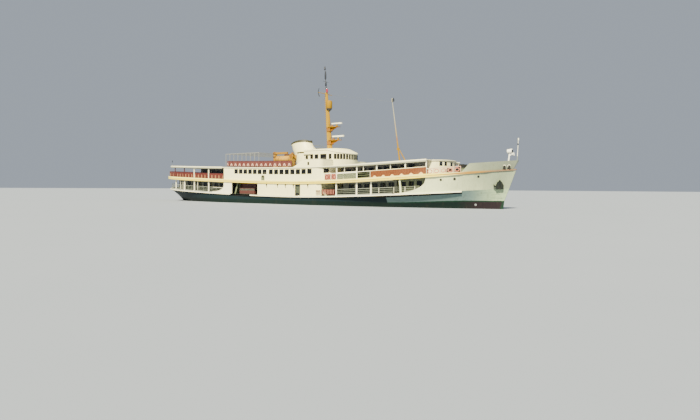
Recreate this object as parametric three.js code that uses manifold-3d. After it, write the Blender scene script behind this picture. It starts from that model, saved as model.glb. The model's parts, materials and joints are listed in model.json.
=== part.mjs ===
// Passenger ferry: a twin-screw, two-deck commuter ship, modelled at half size.
// Every length below is a size on the full-size ship, in metres. The group at the end scales it to
// millimetres of the 1:2 model. +X is forward, +Y port, +Z up, and the origin is amidships on the waterline.
import * as THREE from "three";
import { mergeVertices } from "three/addons/utils/BufferGeometryUtils.js";
import Module from "manifold-3d";

const wasm = await Module();
wasm.setup();

const MODEL_MM_PER_METRE = 500; // half size
const GAP = 0.001; // between pieces that rest on each other
const RUNNING = 0.012; // round a shaft or pin that turns

// Main dimensions.
const LENGTH_HALF = 36.65; // half of the length over all
const BEAM_HALF = 6.6;
const DRAUGHT = 3.3;
const WALL = 0.1; // deckhouse walls
const SLAB = 0.15; // deck thickness
const EDGE = 0.085; // width that the edge moulding takes from the upper deck

// The three deck lines. low: height at the lowest place, at: its X, and how far the line has risen
// at the ends of the ship, with the power of the curve.
const SHEER = {
  main: { low: 1.38, at: 2, aft: 1.23, fore: 1.51, aftPower: 1.7, forePower: 1.7 },
  upper: { low: 3.58, at: 3, aft: 1.23, fore: 1.76, aftPower: 1.5, forePower: 1.7 },
  roof: { low: 6.02, at: 6, aft: 1.11, fore: 1.35, aftPower: 1.5, forePower: 1.5 },
};
const STATION_STEP = 3; // deck lines are straight between these stations
const STATIONS = Array.from({ length: 25 }, (_, i) => (i - 12) * STATION_STEP);

// Waterlines of the hull, from the keel up. z: height or deck line, half: half-breadth amidships, aft and
// fore: its ends, run and entry: where it starts to narrow, with the powers of the two curves.
const LINES = {
  keel: { z: -DRAUGHT, half: 0.35, aft: -27.6, fore: 31.2, run: -20, entry: 26, runPower: 2, roundness: 1, entryPower: 2 },
  bilge: { z: -2.95, half: 4.3, aft: -28.3, fore: 32.7, run: -2, entry: 0, runPower: 1.5, roundness: 1, entryPower: 1.6 },
  turn: { z: -2.2, half: 5.9, aft: -29.4, fore: 33.5, run: -6, entry: 0, runPower: 1.6, roundness: 1, entryPower: 1.8 },
  low: { z: -1.2, half: 6.35, aft: -31.9, fore: 34.1, run: -9, entry: 0, runPower: 1.9, roundness: 0.9, entryPower: 2.1 },
  water: { z: 0, half: 6.5, aft: -34.8, fore: 34.66, run: -12, entry: 0, runPower: 2.2, roundness: 0.7, entryPower: 2.3 },
  boot: { z: 1.1, half: 6.56, aft: -35.35, fore: 34.8, run: -15, entry: 4, runPower: 2.6, roundness: 0.6, entryPower: 2.5 },
  main: { z: "main", half: BEAM_HALF, aft: -36.1, fore: 35.45, run: -18, entry: 8, runPower: 4, roundness: 0.5, entryPower: 2.8 },
  upper: { z: "upper", half: BEAM_HALF, aft: -LENGTH_HALF, fore: 36.3, run: -20, entry: 12, runPower: 4, roundness: 0.5, entryPower: 3 },
  roof: {
    z: "roof", half: BEAM_HALF, aft: -35.6, fore: 36, run: -24, entry: 12, runPower: 3, roundness: 0.5, entryPower: 3,
  },
};

// Materials of the pieces.
const paint = (color, roughness = 0.45, metalness = 0) => new THREE.MeshStandardMaterial({ color, roughness, metalness });
const WHITE = paint(0xf2efe2);
const BLACK = paint(0x20262b);
const CREAM = paint(0xeadf9d);
const YELLOW = paint(0xe9a91c);
const RED_WOOD = paint(0xb5533a);
const ORANGE = paint(0xe2731f);
const GREY = paint(0xa9b0ab);
const TEAK = paint(0x9b7b55, 0.8);
const BRONZE = paint(0xa8803f, 0.35, 1);
const STEEL = paint(0x5f6467, 0.5, 0.6);

// Solids: closed three.js geometries, cut and joined by manifold.

/** Hands a closed geometry to manifold, with its shared vertices merged. */
function solid(geometry) {
  const bare = geometry.clone();
  for (const name of Object.keys(bare.attributes)) if (name !== "position") bare.deleteAttribute(name);
  const merged = mergeVertices(bare, 1e-5);
  return new wasm.Manifold(
    new wasm.Mesh({
      numProp: 3,
      vertProperties: new Float32Array(merged.attributes.position.array),
      triVerts: new Uint32Array(merged.index.array),
    }),
  );
}

const join = (...parts) => parts.flat().reduce((a, b) => a.add(b));
const cut = (a, ...tools) => tools.flat().reduce((rest, tool) => rest.subtract(tool), a);

/** Turns a manifold solid back into a three.js geometry. */
function geometryOf(made) {
  const mesh = made.getMesh();
  const positions = new Float32Array(mesh.numVert * 3);
  for (let i = 0; i < mesh.numVert; i++) {
    positions.set(mesh.vertProperties.subarray(i * mesh.numProp, i * mesh.numProp + 3), i * 3);
  }
  const geometry = new THREE.BufferGeometry();
  geometry.setAttribute("position", new THREE.BufferAttribute(positions, 3));
  geometry.setIndex(new THREE.BufferAttribute(new Uint32Array(mesh.triVerts), 1));
  geometry.computeVertexNormals();
  return geometry;
}

const ship = new THREE.Group();

/** Adds a named piece to the ship. */
function piece(name, made, material) {
  const mesh = new THREE.Mesh(geometryOf(made), material);
  mesh.name = name;
  ship.add(mesh);
}

/** A box from its lowest to its highest corner. */
function box(low, high) {
  const size = high.map((v, i) => v - low[i]);
  const g = new THREE.BoxGeometry(...size);
  g.translate(...high.map((v, i) => (v + low[i]) / 2));
  return solid(g);
}

/** A round bar between two points, which may taper. */
function bar(from, to, radius, endRadius = radius, sides = 10) {
  const a = new THREE.Vector3(...from);
  const b = new THREE.Vector3(...to);
  const g = new THREE.CylinderGeometry(endRadius, radius, a.distanceTo(b), sides);
  g.applyQuaternion(new THREE.Quaternion().setFromUnitVectors(new THREE.Vector3(0, 1, 0), b.clone().sub(a).normalize()));
  g.translate(...a.add(b).multiplyScalar(0.5).toArray());
  return solid(g);
}

/** A prism over a plan outline, from one height to another. */
function prism(points, low, high) {
  const shape = new THREE.Shape(points.map(([x, y]) => new THREE.Vector2(x, y)));
  const g = new THREE.ExtrudeGeometry(shape, { depth: high - low, bevelEnabled: false });
  g.translate(0, 0, low);
  return solid(g);
}

/** A plate cut to a side outline, given as X and Z, between two values of Y. */
function sidePlate(points, low, high) {
  const shape = new THREE.Shape(points.map(([x, z]) => new THREE.Vector2(x, z)));
  const g = new THREE.ExtrudeGeometry(shape, { depth: high - low, bevelEnabled: false });
  g.rotateX(Math.PI / 2);
  g.translate(0, high, 0);
  return solid(g);
}

/** A closed skin over rings of equally many points. closed joins the last ring to the first. */
function loft(rings, closed = false) {
  const n = rings[0].length;
  const positions = rings.flat(2);
  const index = [];
  const last = closed ? rings.length : rings.length - 1;
  for (let i = 0; i < last; i++) {
    const a = i * n;
    const b = ((i + 1) % rings.length) * n;
    for (let k = 0; k < n; k++) {
      const m = (k + 1) % n;
      index.push(a + k, b + k, b + m, a + k, b + m, a + m);
    }
  }
  // Each end is closed by strips between the two halves of its ring.
  const cap = (start, flip) => {
    for (let k = 0; k < Math.ceil(n / 2) - 1; k++) {
      const [p, q, r, s] = [k, k + 1, n - 2 - k, n - 1 - k].map((v) => start + v);
      const faces = [[p, q, r], [p, r, s]].filter(([u, v, w]) => u !== v && v !== w && u !== w);
      for (const [u, v, w] of faces) index.push(...(flip ? [u, w, v] : [u, v, w]));
    }
  };
  if (!closed) {
    cap(0, false);
    cap((rings.length - 1) * n, true);
  }
  const g = new THREE.BufferGeometry();
  g.setAttribute("position", new THREE.BufferAttribute(new Float32Array(positions), 3));
  g.setIndex(index);
  const made = solid(g);
  if (made.volume() > 0) return made;
  for (let i = 0; i < index.length; i += 3) [index[i + 1], index[i + 2]] = [index[i + 2], index[i + 1]];
  g.setIndex(index);
  return solid(g);
}

const mirrored = (made) => made.mirror([0, 1, 0]);

/** Both sides of a piece that is made on the starboard side. */
const bothSides = (made) => [made, mirrored(made)];

// The ship's lines.

const lerp = (a, b, t) => a + (b - a) * t;

/** Height of a deck line, straight between the stations. */
function sheer(name, x) {
  const s = SHEER[name];
  const smooth = (at) => {
    const aft = at < s.at;
    const reach = Math.abs(at - s.at) / (aft ? LENGTH_HALF + s.at : LENGTH_HALF - s.at);
    return s.low + (aft ? s.aft : s.fore) * reach ** (aft ? s.aftPower : s.forePower);
  };
  const start = Math.floor(x / STATION_STEP) * STATION_STEP;
  return lerp(smooth(start), smooth(start + STATION_STEP), (x - start) / STATION_STEP);
}
const mainDeck = (x) => sheer("main", x);
const upperDeck = (x) => sheer("upper", x);
const roofDeck = (x) => sheer("roof", x);
/** Height at which a piece of some half-width stands on a deck line. */
const standing = (line, x, half) => Math.max(line(x - half), line(x), line(x + half)) + GAP;
const underUpper = (x) => upperDeck(x) - SLAB;
const underRoof = (x) => roofDeck(x) - SLAB;

/** Rounded front of the forward saloon: half-breadth at X, and the X of points evenly round it. */
const NOSE = { from: 24, fore: 27, half: 4.2, power: 2.5, roofStep: 25.8, overhang: 0.1 };
function noseBreadth(x, grow = 0) {
  const along = Math.min(1, Math.max(0, (x - NOSE.from) / (NOSE.fore + grow - NOSE.from)));
  return (NOSE.half + grow) * Math.sqrt(1 - along ** NOSE.power);
}
const nosePoints = (bearings, grow = 0) =>
  bearings.map((deg) => {
    const along = Math.sin(THREE.MathUtils.degToRad(deg)) ** (2 / NOSE.power);
    return NOSE.from + (NOSE.fore + grow - NOSE.from) * along;
  });

/** Half-breadth of one of the ship's lines. */
function breadth(name, x) {
  if (name === "roof" && x > NOSE.roofStep) return noseBreadth(x, NOSE.overhang);
  const l = LINES[name];
  const aft = Math.min(1, Math.max(0, (l.run - x) / (l.run - l.aft)));
  const fore = Math.min(1, Math.max(0, (x - l.entry) / (l.fore - l.entry)));
  return l.half * (1 - aft ** l.runPower) ** l.roundness * (1 - fore ** l.entryPower);
}

const lineHeight = (name, x) => (typeof LINES[name].z === "string" ? sheer(LINES[name].z, x) : LINES[name].z);

/** X values from one end to another, with every station between them and closer steps towards round ends. */
function steps(from, to, { fineAft = false, fineFore = false } = {}) {
  const found = STATIONS.filter((x) => x > from + 0.05 && x < to - 0.05);
  found.push(from, to);
  if (fineAft) found.push(from + 0.12, from + 0.45, from + 1.1, from + 2.1);
  if (fineFore) found.push(to - 0.3, to - 0.9, to - 2);
  return [...new Set(found)].sort((a, b) => a - b);
}

/** Points along one side of a line, on starboard, inset from it. */
function sidePath(name, from, to, inset = 0, fine = {}) {
  return steps(from, to, fine).map((x) => [x, -Math.max(0.02, breadth(name, x) - inset)]);
}

/** The same path round the stern, from the port side's fore end to the starboard side's. */
function sternPath(name, to, inset) {
  const side = sidePath(name, LINES[name].aft + inset + 0.01, to, inset, { fineAft: true });
  return [...side.map(([x, y]) => [x, -y]).reverse(), ...side];
}

/** Unit normals of a plan path, to the left of its direction. */
function normals(path, closed) {
  return path.map((_, i) => {
    const before = closed ? path.at(i - 1) : path[Math.max(0, i - 1)];
    const after = closed ? path[(i + 1) % path.length] : path[Math.min(path.length - 1, i + 1)];
    const d = new THREE.Vector2(after[0] - before[0], after[1] - before[1]).normalize();
    return [-d.y, d.x];
  });
}

/** A strake of rectangular section along a plan path: inner and outer are distances to the left of it. */
function strake(path, inner, outer, low, high, closed = false) {
  const n = normals(path, closed);
  const at = ([x, y], i, off) => [x + n[i][0] * off, y + n[i][1] * off];
  return loft(
    path.map((p, i) => {
      const [ax, ay] = at(p, i, inner);
      const [bx, by] = at(p, i, outer);
      return [[ax, ay, low(ax)], [bx, by, low(bx)], [bx, by, high(bx)], [ax, ay, high(ax)]];
    }),
    closed,
  );
}

/** A deck slab over the plan of a line, through the given X values. */
function slab(name, xs, low, high, inset = 0) {
  return loft(
    xs.map((x) => {
      const b = Math.max(0.03, breadth(name, x) - inset);
      return [[x, -b, low(x)], [x, b, low(x)], [x, b, high(x)], [x, -b, high(x)]];
    }),
  );
}

/** Walls of a deckhouse round a closed plan path, from a floor line to a ceiling line. */
const walls = (path, floor, ceiling) =>
  strake(path, 0, WALL, (x) => floor(x) + GAP, (x) => ceiling(x) - GAP, true);

/** A house outline, counter-clockwise: straight sides, a square aft end and an oval fore end. */
function houseOutline(aft, straightTo, front, half, arcSteps = 8, side = steps(aft, straightTo)) {
  const arc = Array.from({ length: arcSteps - 1 }, (_, i) => {
    const a = -Math.PI / 2 + (Math.PI * (i + 1)) / arcSteps;
    return [straightTo + (front - straightTo) * Math.cos(a), half * Math.sin(a)];
  });
  const starboard = side.map((x) => [x, -half]);
  return [...starboard, ...arc, ...side.map((x) => [x, half]).reverse()];
}

/** Boxes that cut a row of windows through the side walls at one half-breadth. */
function windowCuts(xs, width, half, sill, head) {
  return xs.flatMap((x) =>
    [-1, 1].map((side) => {
      const y = [side * (half + 0.2), side * (half - 0.3)].sort((a, b) => a - b);
      return box([x - width / 2, y[0], sill(x)], [x + width / 2, y[1], head(x)]);
    }),
  );
}

const row = (from, to, count) => Array.from({ length: count }, (_, i) => lerp(from, to, count > 1 ? i / (count - 1) : 0));

const GANGWAY = { aft: [-12.5, -5.9], fore: [8.2, 10.8] }; // open entrances across the ship
const MID = { half: 6.5, corner: 7.2, front: 10.2 }; // full-width part and its rounded fore corners
const SALOON = { lowerAft: -31, upperAft: -24 };
const DOOR = { x: 3.3, width: 1.0, height: 1.75 };
const SIDE_DOOR = { track: mainDeck(DOOR.x) + 1.89 }; // height of the track on which a side door slides

// Hull.

const RUDDER = { stock: -32.0, aft: -33.75, fore: -31.5, top: -1.5, bottom: -3.1, thickness: 0.28, stockRadius: 0.14, head: -0.7 };
const SHAFT = { y: 2.3, z: -2.15, propeller: -29.9, hullEnd: -21, radius: 0.16, propellerRadius: 0.98 };

const HULL_STEPS = steps(LINES.main.aft, LINES.main.fore, { fineAft: true, fineFore: true });
const deckEdge = (x) => Math.max(0.05, breadth("main", x));

function hull() {
  const names = ["keel", "bilge", "turn", "low", "water", "boot", "main"];
  const deck = LINES.main;
  const rings = HULL_STEPS.map((x) => {
    const t = (x - deck.aft) / (deck.fore - deck.aft);
    const starboard = names.map((name) => {
      const l = LINES[name];
      const at = name === "main" ? x : lerp(l.aft, l.fore, t);
      return [at, -Math.max(0.05, breadth(name, at)), lineHeight(name, at)];
    });
    return [...starboard, ...starboard.map(([a, b, c]) => [a, -b, c]).reverse()];
  });
  const body = loft(rings);
  const bore = RUDDER.stockRadius + RUNNING;
  const trunk = bar([RUDDER.stock, 0, -2], [RUDDER.stock, 0, RUDDER.head + GAP], bore, bore, 24);
  const { propeller: x, hullEnd, y, z, radius } = SHAFT;
  const tube = bar([x + 0.281, -y, z], [hullEnd, -y, z], radius, radius * 1.5, 12);
  const barrel = bar([x + 0.281, -y, z], [x + 1.1, -y, z], 0.23, 0.23, 12);
  const struts = [-y - 0.3, -0.7].map((toY) => bar([x + 0.7, -y, z], [x + 0.7, toY, -0.5], 0.1, 0.14, 8));
  return cut(join(body, bothSides(join(tube, barrel, struts))), trunk);
}

/** The belting along the main deck's edge, round the stern, as far as the flare of the bow. */
const BELTING = { end: 30, out: 0.13, low: 0.17 };
function belting() {
  const side = HULL_STEPS.filter((x) => x <= BELTING.end).map((x) => [x, -deckEdge(x)]);
  const path = [...side.map(([x, y]) => [x, -y]).reverse(), ...side];
  return strake(path, -GAP, -BELTING.out, (x) => mainDeck(x) - BELTING.low, (x) => mainDeck(x) - GAP);
}

// The side opening forward ends in a long upward sweep. The same shape closes the aft opening.
const OPENING = { foreTip: 25.65, sweep: 4.6, aftStart: -14.6, aftSweep: 3.1, aftRise: 1.25 };
const PROMENADE_INNER = 4.3; // half-breadth of the saloon walls beside the open decks

/** Side shape of the forward opening's end, as a cutter. */
function foreOpening() {
  const x0 = OPENING.foreTip - OPENING.sweep;
  const top = (x) => underUpper(x) - GAP;
  const sill = (x) => mainDeck(x) - 0.2;
  const curve = Array.from({ length: 9 }, (_, i) => {
    const a = (Math.PI / 2) * (i / 8);
    const x = x0 + OPENING.sweep * Math.sin(a);
    return [x, lerp(top(x), mainDeck(x) + 0.06, Math.cos(a) ** 0.8)];
  });
  const roof = [OPENING.foreTip, 24, x0 - 3].map((x) => [x, top(x) + 0.6]);
  return sidePlate([[x0 - 3, sill(x0 - 3)], [x0, sill(x0)], ...curve, ...roof], -7.5, -PROMENADE_INNER);
}

const FORE_SHELL = { from: 20.9, flare: 1.25 };

/** A point on the bow plating: t runs from its aft end to the stem, u from the main deck to the upper deck. */
function shellPoint(t, u) {
  const x = lerp(FORE_SHELL.from, LINES.main.fore, t);
  const topX = lerp(FORE_SHELL.from, LINES.upper.fore, t);
  const half = lerp(breadth("main", x), breadth("upper", topX) - EDGE - 0.04, u ** FORE_SHELL.flare);
  return new THREE.Vector3(lerp(x, topX, u), -half, lerp(mainDeck(x), underUpper(topX), u));
}

const ANCHOR = { t: 0.912, u: 0.27, off: 0.22, seat: 0.34, seatRadius: 0.2 };

/** The anchor's own frame on the plating: X forward along it, Y inward, Z up along it. */
function anchorFrame() {
  const { t, u, off } = ANCHOR;
  const at = shellPoint(t, u);
  const forward = shellPoint(t + 0.03, u).sub(shellPoint(t - 0.03, u)).normalize();
  const up = shellPoint(t, u + 0.2).sub(shellPoint(t, u - 0.2)).normalize();
  const inward = up.clone().cross(forward).normalize();
  const upright = forward.clone().cross(inward).normalize();
  return new THREE.Matrix4().makeBasis(forward, inward, upright).setPosition(at.addScaledVector(inward, -off));
}

/** The white side plating of the bow, from the main deck up to the upper deck. */
function foreShell() {
  const levels = [0, 0.5, 1];
  const xs = steps(FORE_SHELL.from, LINES.main.fore, { fineFore: true });
  const rings = xs.map((x) => {
    const t = (x - FORE_SHELL.from) / (LINES.main.fore - FORE_SHELL.from);
    const starboard = levels.map((u) => {
      const topX = lerp(FORE_SHELL.from, LINES.upper.fore, t);
      const at = lerp(x, topX, u);
      const flare = u ** FORE_SHELL.flare;
      const half = lerp(breadth("main", x), breadth("upper", topX) - EDGE - 0.04, flare);
      const z = lerp(mainDeck(x) + GAP, underUpper(topX) - GAP, u);
      return [at, -Math.max(0.05, half), z];
    });
    return [...starboard, ...starboard.map(([a, b, c]) => [a, -b, c]).reverse()];
  });
  const whole = loft(rings);
  const topCut = slab("upper", steps(20, LINES.upper.fore + 0.4), (x) => underUpper(x) - GAP, (x) => underUpper(x) + 2, -1);
  const inside = prism(houseOutline(20, 24.4, 25.2, PROMENADE_INNER - WALL), 1, 5);
  const boss = bar([0, 0.5, ANCHOR.seat], [0, 0.078, ANCHOR.seat], ANCHOR.seatRadius, ANCHOR.seatRadius, 12);
  const windows = windowCuts(row(21.6, 24.2, 3), 0.9, PROMENADE_INNER, aboveDeck(mainDeck, 0.95), aboveDeck(mainDeck, 1.75));
  const plated = cut(whole, topCut, bothSides(foreOpening()), inside, windows);
  // The last post of the open side stands in this plating.
  const band = box([MAIN_POSTS.last - POST, -8, 0], [MAIN_POSTS.last + POST, -PROMENADE_INNER - 0.2, 8]);
  const post = cut(whole.intersect(band), whole.translate([0, 0.14, 0]), topCut);
  return join(plated, bothSides(post), bothSides(boss.transform(anchorFrame().elements)));
}

// Decks.

/** Half-height of the moulding at the upper deck's edge: deep amidships, slim at the bow. */
const MOULDING = { half: 0.27, bowHalf: 0.08, from: 25.5, to: 34 };
function mouldingHalf(x) {
  const t = Math.min(1, Math.max(0, (x - MOULDING.from) / (MOULDING.to - MOULDING.from)));
  return lerp(MOULDING.half, MOULDING.bowHalf, t);
}

// The deck edge inside the moulding, and its half-breadth at any X.
const EDGE_ENDS = [LINES.upper.aft + EDGE + 0.01, LINES.upper.fore - 0.02];
const EDGE_PATH = sidePath("upper", ...EDGE_ENDS, EDGE, { fineAft: true, fineFore: true });
function edgeBreadth(x) {
  const i = Math.max(1, EDGE_PATH.findIndex(([at]) => at >= x));
  const [a, b] = [EDGE_PATH[i - 1], EDGE_PATH[i]];
  return -lerp(a[1], b[1], (x - a[0]) / (b[0] - a[0]));
}

function upperMoulding() {
  const side = EDGE_PATH;
  const loop = [...side, ...side.map(([x, y]) => [x, -y]).reverse()];
  return strake(
    loop,
    -GAP,
    -(EDGE + 0.04),
    (x) => upperDeck(x) - mouldingHalf(x),
    (x) => upperDeck(x) + mouldingHalf(x),
    true,
  );
}

/** The raised bulwark at the bow: a plate that rises from the deck aft and meets at the stem. */
const BULWARK = { from: 30.2, full: 31.1, to: 35.95, height: 1.24, thickness: 0.1, tipX: 36.62 };
function bowBulwark() {
  const xs = steps(BULWARK.from, BULWARK.to, { fineFore: true }).concat(BULWARK.full).sort((a, b) => a - b);
  const half = xs.map((x) => {
    const lift = Math.min(1, Math.max(0, (x - BULWARK.from) / (BULWARK.full - BULWARK.from)));
    const height = BULWARK.height * (0.12 + 0.88 * lift);
    const t = (x - BULWARK.from) / (BULWARK.to - BULWARK.from);
    const outer = Math.max(0.06, edgeBreadth(x) - 0.06 - 0.14 * t ** 4);
    const low = upperDeck(x) + GAP;
    return { x, topX: x + t * (BULWARK.tipX - BULWARK.to), outer, flare: 0.2 * lift, low, height };
  });
  const ring = (h, side) => {
    const inner = Math.max(0.02, h.outer - BULWARK.thickness);
    const top = Math.max(0.02, h.outer + h.flare - BULWARK.thickness);
    return [
      [h.x, side * inner, h.low],
      [h.x, side * h.outer, h.low],
      [h.topX, side * (h.outer + h.flare), h.low + h.height],
      [h.topX, side * top, h.low + h.height],
    ];
  };
  const plates = [-1, 1].map((side) => loft(half.map((h) => ring(h, side))));
  const nose = loft(
    half.slice(-2).map((h) => {
      const w = h.outer + h.flare;
      return [[h.x, -h.outer, h.low], [h.x, h.outer, h.low], [h.topX, w, h.low + h.height], [h.topX, -w, h.low + h.height]];
    }),
  );
  // Fairlead openings, two on each side.
  const leads = [[34.9, 35.26], [35.38, 35.76]].flatMap(([a, b]) => bothSides(box([a, -4, upperDeck(a) + 0.14], [b, -0.05, upperDeck(a) + 0.58])));
  return join(cut(join(plates, nose), leads), jackstaff());
}

const STAIR = { x: [-11.6, -8.2], half: 0.9 }; // well in the upper deck over the aft entrance
function upperDeckSlab() {
  const xs = EDGE_PATH.map(([x]) => x).filter((x) => x < LINES.upper.fore - 0.2);
  return cut(slab("upper", xs, underUpper, upperDeck, EDGE), box([STAIR.x[0], -STAIR.half, 2], [STAIR.x[1], STAIR.half, 6]));
}

const ROOF_STEPS = [
  ...steps(LINES.roof.aft, NOSE.roofStep, { fineAft: true }),
  NOSE.roofStep + 0.01,
  ...nosePoints(row(38, 90, 8), NOSE.overhang),
];
const FASCIA = { thick: 0.05, below: 0.3, above: 0.05, aftEnd: -14.7, foreStart: 9.2 };
function roofSlab() {
  const edge = ROOF_STEPS.map((x) => [x, -Math.max(0.03, breadth("roof", x))]);
  const runs = [edge.filter(([x]) => x < FASCIA.aftEnd), edge.filter(([x]) => x > FASCIA.foreStart && x < NOSE.roofStep + 0.005)];
  const strips = runs.map((path) =>
    strake(path, -0.01, FASCIA.thick, (x) => roofDeck(x) - FASCIA.below, (x) => roofDeck(x) + FASCIA.above),
  );
  return join(slab("roof", ROOF_STEPS, underRoof, roofDeck), bothSides(join(...strips)), quarterStaff());
}

// Deckhouses.

/** Plan of a full-width house with rounded fore corners, counter-clockwise. */
function midOutline(aft, fore, cornerStart) {
  const side = steps(aft, cornerStart);
  const arc = Array.from({ length: 5 }, (_, i) => {
    const a = (Math.PI / 2) * ((i + 1) / 5);
    return [
      cornerStart + (fore - cornerStart) * Math.sin(a),
      -(PROMENADE_INNER + (MID.half - PROMENADE_INNER) * Math.cos(a)),
    ];
  });
  const starboard = [...side.map((x) => [x, -MID.half]), ...arc];
  return [...starboard, ...starboard.map(([x, y]) => [x, -y]).reverse()];
}

const aboveDeck = (line, rise) => (x) => line(x) + rise;

/** A doorway through a cross wall, on the centreline. */
const crossDoor = (x, floor) => box([x - 0.3, -0.8, floor(x) + 0.12], [x + 0.3, 0.8, floor(x) + 0.12 + DOOR.height]);

function lowerSaloonAft() {
  const path = houseOutline(SALOON.lowerAft, OPENING.aftStart - 0.2, OPENING.aftStart - 0.1, PROMENADE_INNER, 2);
  const windows = windowCuts(row(-29.2, -16.2, 9), 1.0, PROMENADE_INNER, aboveDeck(mainDeck, 0.95), aboveDeck(mainDeck, 1.75));
  return cut(walls(path, mainDeck, underUpper), windows, crossDoor(SALOON.lowerAft, mainDeck), crossDoor(OPENING.aftStart - 0.2, mainDeck));
}

// Pillar at the aft side of the forward entrance, with the gate's two hinge lugs on its face.
const PILLAR = { aft: 7.3, fore: GANGWAY.fore[0] - 0.1, y: [-6.42, -6.2] };
const GATE = { pin: PILLAR.fore + 0.1, fore: GANGWAY.fore[1] - 0.08, y: -6.31, pinRadius: 0.045, low: 0.14, high: 1.0 };

function lowerHouseMid() {
  const path = midOutline(GANGWAY.aft[1], GANGWAY.fore[0] - 0.2, 7.2);
  const floor = mainDeck(DOOR.x) + 0.12;
  const doors = bothSides(
    box([DOOR.x - DOOR.width / 2, -MID.half - 0.2, floor], [DOOR.x + DOOR.width / 2, -MID.half + 0.3, floor + DOOR.height]),
  );
  const pillar = box([PILLAR.aft, PILLAR.y[0], standing(mainDeck, 7.7, 0.4)], [PILLAR.fore, PILLAR.y[1], underUpper(7.5) - 0.01]);
  const gateFloor = mainDeck(GATE.fore);
  const lugs = [GATE.low - 0.05, GATE.high].map((rise) =>
    box([PILLAR.fore - 0.1, GATE.y - 0.05, gateFloor + rise], [GATE.pin + 0.05, GATE.y + 0.05, gateFloor + rise + 0.05]),
  );
  const inner = -MID.half + WALL;
  const track = box([DOOR.x - 2.0, inner - 0.02, SIDE_DOOR.track], [DOOR.x + 0.7, inner + 0.05, SIDE_DOOR.track + 0.04]);
  const ring = walls(path, mainDeck, underUpper);
  const whole = join(ring, bothSides(join(pillar, ...lugs)), bothSides(track));
  return cut(whole, doors, crossDoor(GANGWAY.aft[1], mainDeck), crossDoor(GANGWAY.fore[0] - 0.2, mainDeck));
}

/** The white side plate aft of the aft entrance, which sweeps down into the open side. */
function sweepPlate() {
  const foot = OPENING.aftStart - OPENING.aftSweep;
  const curve = Array.from({ length: 7 }, (_, i) => {
    const a = (Math.PI / 2) * (i / 6);
    const x = foot + OPENING.aftSweep * Math.sin(a);
    return [x, mainDeck(x) + 0.2 + OPENING.aftRise * (1 - Math.cos(a))];
  });
  const base = STATIONS.filter((x) => x > foot && x < GANGWAY.aft[0]).reverse();
  const low = (x) => mainDeck(x) + GAP;
  const high = (x) => underUpper(x) - GAP;
  const head = [OPENING.aftStart, GANGWAY.aft[0]];
  const outline = [[foot, low(foot)], ...curve, ...head.map((x) => [x, high(x)]), [GANGWAY.aft[0], low(GANGWAY.aft[0])], ...base.map((x) => [x, low(x)])];
  return sidePlate(outline, -MID.half, -MID.half + WALL);
}

function lowerSaloonFore() {
  const path = houseOutline(GANGWAY.fore[1], 20.5, 20.6, PROMENADE_INNER, 2);
  const windows = windowCuts(row(12.4, 19.6, 6), 1.0, PROMENADE_INNER, aboveDeck(mainDeck, 0.95), aboveDeck(mainDeck, 1.75));
  return cut(walls(path, mainDeck, underUpper), windows, crossDoor(GANGWAY.fore[1], mainDeck));
}

function upperSaloonAft() {
  const path = houseOutline(SALOON.upperAft, OPENING.aftStart - 0.2, OPENING.aftStart - 0.1, PROMENADE_INNER, 2);
  const windows = windowCuts(row(-22.8, -16, 6), 1.0, PROMENADE_INNER, aboveDeck(upperDeck, 0.95), aboveDeck(upperDeck, 1.85));
  return cut(walls(path, upperDeck, underRoof), windows, crossDoor(SALOON.upperAft, upperDeck), crossDoor(OPENING.aftStart - 0.2, upperDeck));
}

// Two groups of square windows along the full-width saloon, as X of their centres.
const MID_WINDOWS = [...row(-11.3, -4.2, 7), ...row(-2.7, 5.8, 8)];
function upperSaloonMid() {
  const path = midOutline(OPENING.aftStart, MID.front, MID.corner);
  const windows = windowCuts(MID_WINDOWS, 0.8, MID.half, aboveDeck(upperDeck, 1.36), aboveDeck(upperDeck, 2.08));
  const corner = bothSides(solid(new THREE.BoxGeometry(0.85, 0.8, 0.6).rotateZ(0.55).translate(8.78, -5.97, 5.4)));
  const doors = [crossDoor(OPENING.aftStart, upperDeck), crossDoor(MID.front, upperDeck)];
  return cut(walls(path, upperDeck, underRoof), windows, corner, doors);
}

/** The forward saloon: narrow beside the open sides, then out to the rails with a rounded front. */
const NOSE_WINDOWS = [[0, 0.66], [1.5, 0.5], [2.41, 0.52]]; // distance from the centreline, width
function upperSaloonFore() {
  const half = PROMENADE_INNER - 0.1;
  const side = steps(MID.front + 0.2, NOSE.from).map((x) => [x, -half]);
  const nose = nosePoints(row(12, 88, 9)).map((x) => [x, -noseBreadth(x)]);
  const starboard = [...side, ...nose];
  const path = [...starboard, ...starboard.map(([x, y]) => [x, -y]).reverse()];
  const windows = windowCuts(row(11.8, 22.9, 9), 0.95, half, aboveDeck(upperDeck, 0.95), aboveDeck(upperDeck, 1.85));
  const front = NOSE_WINDOWS.flatMap(([y, w]) => bothSides(box([26, -y - w / 2, 5.93], [28.2, -y + w / 2, 6.5])));
  return cut(walls(path, upperDeck, underRoof), windows, front, crossDoor(MID.front + 0.2, upperDeck));
}

// Open sides: posts, rails and the beams that carry them.

const POST = 0.1; // half-width of a stout post
const ROD = 0.035; // half-width of a rail stanchion

/** Upright posts at the given X, inside the edge of a line, from a floor to a ceiling. */
function posts(xs, line, inset, halfWidth, depth, low, high) {
  return xs.map((x) => {
    const y = -(breadth(line, x) - inset);
    return box([x - halfWidth, y - depth / 2, low(x)], [x + halfWidth, y + depth / 2, high(x)]);
  });
}

const RAIL_INSET = 0.3;

const RAIL = { foot: 0.12, footThick: 0.05, hand: 1.2, bowHand: 0.9, boatHand: 1.02, handThick: 0.08, step: 2.4 };

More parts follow.
